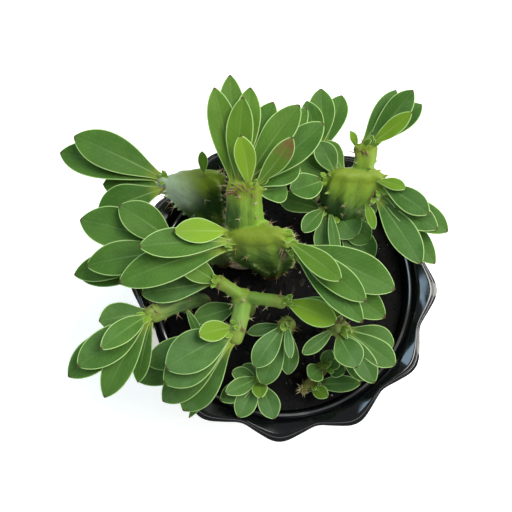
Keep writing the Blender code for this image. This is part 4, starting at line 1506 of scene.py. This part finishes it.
def grow_buds(heap, name, stem, looks):
    """Tiny young leaves that stand on the growing edge between the leaves of each tuft."""
    skin = coarse_skin(stem)
    for tuft, (start, end, leaves) in enumerate(stem["tufts"]):
        draws = random.Random(f"{name} {tuft} buds")
        if len(leaves) < 2:
            continue
        middle = sum((heading(leaf[0], 0) for leaf in leaves), Vector()).normalized()
        bearing = math.degrees(math.atan2(middle.y, middle.x))
        for _ in range(looks.buds):
            length = draws.uniform(4.5, 9.5)
            leaf = (bearing + draws.uniform(-75, 75), draws.uniform(25, 75), length, length * 0.38, 0)
            spot = Vector(start).lerp(Vector(end), draws.uniform(-0.1, 1.1))
            seat, normal = skin.find_nearest(spot + UP * 3.0)[:2]
            tip = seat + heading(*leaf[:2]) * length
            grow_leaf(heap, looks, seat - normal * 1.5, tip, leaf, draws.uniform(0.4, 0.9), 0.0, draws)


def make_leaves(name, stem, looks, material):
    """All leaves of one stem."""
    heap = Heap("across", "along", "half", "upper", "reach", "young", "film", "tone", "blush")
    for leaf, seat, normal, tip, young, draws in leaf_seats(name, stem):
        film = LEAF_FILM.get(name, 0.08) * draws.uniform(0.5, 1.0) * (1.0 - young)
        grow_leaf(heap, looks, seat - normal * ROOT_SINK, tip, leaf, young, film, draws)
    grow_buds(heap, name, stem, looks)
    make_piece(name + "_leaves", heap, material, [name])


def grow_tube(heap, path, radii, sides, tone):
    """Closed tube along a path, with a radius at each of its points."""
    points = []
    for index, place in enumerate(path):
        ahead = path[min(index + 1, len(path) - 1)] - path[max(index - 1, 0)]
        turn = UP.rotation_difference(ahead.normalized()).to_matrix()
        for side in range(sides):
            angle = math.tau * side / sides
            points.append(place + turn @ Vector((math.cos(angle), math.sin(angle), 0)) * radii[index])
    reach = [index // sides / (len(path) - 1) for index in range(len(points))]
    heap.add(points, tube_faces(len(path), sides), reach=reach, tone=tone)


def grow_spine(heap, base, aim, length, radius, droop, tone):
    """Curved cone of horn that starts under the skin."""
    shares = [index / (SPINE_POINTS - 1) for index in range(SPINE_POINTS)]
    path = [base + aim * (length * share - SPINE_SINK) + UP * droop * share ** 2 for share in shares]
    radii = [radius * (1.0 - 0.96 * share ** 0.85) for share in shares]
    grow_tube(heap, path, radii, 6, tone)


def grow_scar(heap, skin, seat, normal, up, size, tone):
    """Pale raised crescent on the skin below a pair of spines."""
    across = up.cross(normal).normalized()
    shares = [index / (SCAR_POINTS - 1) for index in range(SCAR_POINTS)]
    path = []
    for share in shares:
        turn = math.radians(-75 + 150 * share)
        spot = seat + (across * math.sin(turn) - up * math.cos(turn)) * size
        path.append(skin.find_nearest(spot)[0] + normal * 0.1)
    radii = [0.12 + 0.26 * math.sin(math.pi * share) for share in shares]
    grow_tube(heap, path, radii, 5, tone)


def skin_tree(name):
    """Search tree of a stem's finished skin, in millimetres."""
    mesh = bpy.data.objects[name + "_skin"].data
    points = [vertex.co / MM for vertex in mesh.vertices]
    faces = [list(face.vertices) for face in mesh.polygons]
    return BVHTree.FromPolygons(points, faces)


def grow_knob_spines(heap, skin, name, stem, long, radius, spacing):
    """Spines in pairs on the knobs, most with a pale crescent scar below them."""
    draws = random.Random(name + " spines")
    for spot, out, size, toothed in knob_spots(name, stem, spacing):
        seat, normal, _, away = skin.find_nearest(spot + out * (2.4 if toothed else 1.2))
        if away > 1.8 or normal.dot(out) < 0.1 or toothed and draws.random() < 0.5:
            continue
        across = normal.cross(UP)
        across = across.normalized() if across.length > 0.1 else Vector((1, 0, 0))
        up = across.cross(normal)
        tone = 0.8 if draws.random() < 0.2 else draws.uniform(0.0, 0.25)
        for turn in (-1, 1):
            aim = (normal + out) / 2 + across * turn * draws.uniform(0.35, 0.7)
            aim += up * draws.uniform(-0.2, 0.35)
            grow_spine(heap, seat, aim.normalized(), long * size * draws.uniform(0.6, 1.0), radius * size,
                       draws.uniform(-0.5, 0.8), tone)
        if draws.random() < 0.75:
            grow_scar(heap, skin, seat, normal, up, 1.7 * size, draws.uniform(0.75, 1.0))


def grow_seat_spines(heap, skin, name, stem, long, radius):
    """Spines in pairs below the leaves' seats, and behind those of the larger leaves."""
    for leaf, root, _, tip, _, draws in leaf_seats(name, stem):
        forward = (tip - root).normalized()
        across = forward.cross(UP).normalized()
        share = min(leaf[2] / 40.0, 1.0)
        steps = [-UP * 1.2] if share > 0.75 or draws.random() < 0.4 else []
        if leaf[2] > LEAST_SPINY_LEAF:
            steps.append(-forward * 3.0 - UP * 1.5)
        for step in steps:
            seat, normal = skin.find_nearest(root + step)[:2]
            for turn in (-1, 1):
                aim = normal * 0.7 + forward * 0.1 + across * turn * draws.uniform(0.5, 1.0)
                aim -= UP * draws.uniform(0.0, 0.4)
                grow_spine(heap, seat + across * turn * 0.9, aim.normalized(),
                           long * share * draws.uniform(0.7, 1.1), radius * 1.15,
                           draws.uniform(-0.4, 0.5), draws.uniform(0.0, 0.25))


def make_spines(name, stem, looks, material):
    """All spines and scars of one stem, on its finished skin."""
    heap = Heap("reach", "tone")
    skin = skin_tree(name)
    long, radius = looks.length / MM * CROWN_SPINES.get(name, 1.0), looks.radius / MM
    grow_knob_spines(heap, skin, name, stem, long, radius, looks.spacing / MM)
    grow_seat_spines(heap, skin, name, stem, long, radius)
    if name == "front_offset":
        grow_bud_spines(heap, long, radius)
    make_piece(name + "_spines", heap, material, [name])


def grow_bud_spines(heap, long, radius):
    """Cream spines that stand round the young bud at the front."""
    draws = random.Random("bud")
    for index in range(22):
        aim = heading(index * 137.5, draws.uniform(5, 80))
        base = Vector(BUD_PLACE) + aim * 2.6
        length = long * draws.uniform(0.6, 0.95)
        grow_spine(heap, base, aim, length, radius * 1.2, 0.4, draws.uniform(0.8, 1.0))


def aim_at(item, target):
    """Turn a light or camera towards a place."""
    item.rotation_euler = (Vector(target) - item.location).to_track_quat("-Z", "Y").to_euler()


def add_area_light(name, place, target, size, power, colour):
    """Soft rectangular light."""
    light = bpy.data.lights.new(name, "AREA")
    light.shape = "RECTANGLE"
    light.size, light.size_y = size
    light.energy = power
    light.color = colour
    item = bpy.data.objects.new(name, light)
    bpy.context.scene.collection.objects.link(item)
    item.location = place
    aim_at(item, target)


def make_stage(looks):
    """Pale floor, soft light of the room, the area lights and the camera."""
    scene = bpy.context.scene
    bm = bmesh.new()
    bmesh.ops.create_circle(bm, cap_ends=True, segments=96, radius=FLOOR_RADIUS)
    floor = object_from("stage_floor", bm)
    floor.data.materials.append(floor_material(looks))
    world = bpy.data.worlds.new("soft_room")
    world.use_nodes = True
    bench = Bench(world.node_tree)
    rise = bench.add("SeparateXYZ", {0: bench.add("TexCoord", {}, "Generated")}, 2)
    tint = bench.mix(rise.ramp(0.05, 0.6), looks.low_room, looks.high_room)
    bench.feed(world.node_tree.nodes["Background"], {"Color": tint, "Strength": looks.room_strength})
    scene.world = world
    for label, (place, target, size, colour) in LIGHTS.items():
        add_area_light(label + "_light", place, target, size, getattr(looks, label + "_power"), colour)
    data = bpy.data.cameras.new("photo_camera")
    data.sensor_width = 36.0
    data.lens = looks.lens
    camera = bpy.data.objects.new("photo_camera", data)
    scene.collection.objects.link(camera)
    camera.location = looks.eye
    aim_at(camera, looks.target)
    scene.camera = camera
    scene.view_settings.view_transform = "Standard"


def settings(context):
    """Settings of the milk tree in this scene."""
    return context.scene.milk_tree


class MILKTREE_OT_pot(bpy.types.Operator):
    """Make the black plastic pot."""

    bl_idname = "milk_tree.pot"
    bl_label = "Pot"

    def execute(self, context):
        make_pot(settings(context).pot)
        return {"FINISHED"}


class MILKTREE_OT_soil(bpy.types.Operator):
    """Make the soil with its crumbs, chips and dry leaf."""

    bl_idname = "milk_tree.soil"
    bl_label = "Soil"

    def execute(self, context):
        make_soil(settings(context).soil)
        make_dry_leaf(settings(context).soil)
        return {"FINISHED"}


class MILKTREE_OT_stems(bpy.types.Operator):
    """Make the skin of every stem."""

    bl_idname = "milk_tree.stems"
    bl_label = "Stems"

    def execute(self, context):
        looks = settings(context)
        for name, stem in STEMS.items():
            make_skin(name, stem, looks.stem, looks.spine.spacing / MM)
        return {"FINISHED"}


class MILKTREE_OT_leaves(bpy.types.Operator):
    """Make the leaves of every stem."""

    bl_idname = "milk_tree.leaves"
    bl_label = "Leaves"

    def execute(self, context):
        looks = settings(context).leaf
        material = leaf_material(looks)
        for name, stem in STEMS.items():
            make_leaves(name, stem, looks, material)
        return {"FINISHED"}


class MILKTREE_OT_spines(bpy.types.Operator):
    """Make the spines and scars of every stem, on its finished skin."""

    bl_idname = "milk_tree.spines"
    bl_label = "Spines"

    def execute(self, context):
        missing = [name for name in STEMS if name + "_skin" not in bpy.data.objects]
        if missing:
            raise RuntimeError(f"make the stems first: there is no skin for {missing}")
        looks = settings(context).spine
        material = spine_material(looks)
        for name, stem in STEMS.items():
            make_spines(name, stem, looks, material)
        return {"FINISHED"}


class MILKTREE_OT_stage(bpy.types.Operator):
    """Make the floor, the lights and the camera."""

    bl_idname = "milk_tree.stage"
    bl_label = "Stage"

    def execute(self, context):
        make_stage(settings(context).stage)
        return {"FINISHED"}


class MILKTREE_PT_pieces(bpy.types.Panel):
    """Sidebar panel that lists the steps."""

    bl_label = "Milk Tree"
    bl_idname = "MILKTREE_PT_pieces"
    bl_space_type = "VIEW_3D"
    bl_region_type = "UI"
    bl_category = "Milk Tree"

    def draw(self, context):
        for operator in OPERATORS:
            self.layout.operator(operator.bl_idname)


OPERATORS = (MILKTREE_OT_pot, MILKTREE_OT_soil, MILKTREE_OT_stems, MILKTREE_OT_leaves,
             MILKTREE_OT_spines, MILKTREE_OT_stage)
CLASSES = (MilkTreePotLooks, MilkTreeSoilLooks, MilkTreeStemLooks, MilkTreeLeafLooks,
           MilkTreeSpineLooks, MilkTreeStageLooks, MilkTreeSettings, *OPERATORS, MILKTREE_PT_pieces)


def register():
    """Register the classes and the scene's settings."""
    for entry in CLASSES:
        bpy.utils.register_class(entry)
    bpy.types.Scene.milk_tree = PointerProperty(type=MilkTreeSettings)


def unregister():
    """Take back what register did."""
    del bpy.types.Scene.milk_tree
    for entry in reversed(CLASSES):
        bpy.utils.unregister_class(entry)


def main():
    """Build every piece and the stage."""
    register()
    bpy.ops.milk_tree.pot()
    bpy.ops.milk_tree.soil()
    bpy.ops.milk_tree.stems()
    bpy.ops.milk_tree.leaves()
    bpy.ops.milk_tree.spines()
    bpy.ops.milk_tree.stage()


if __name__ == "__main__":
    main()
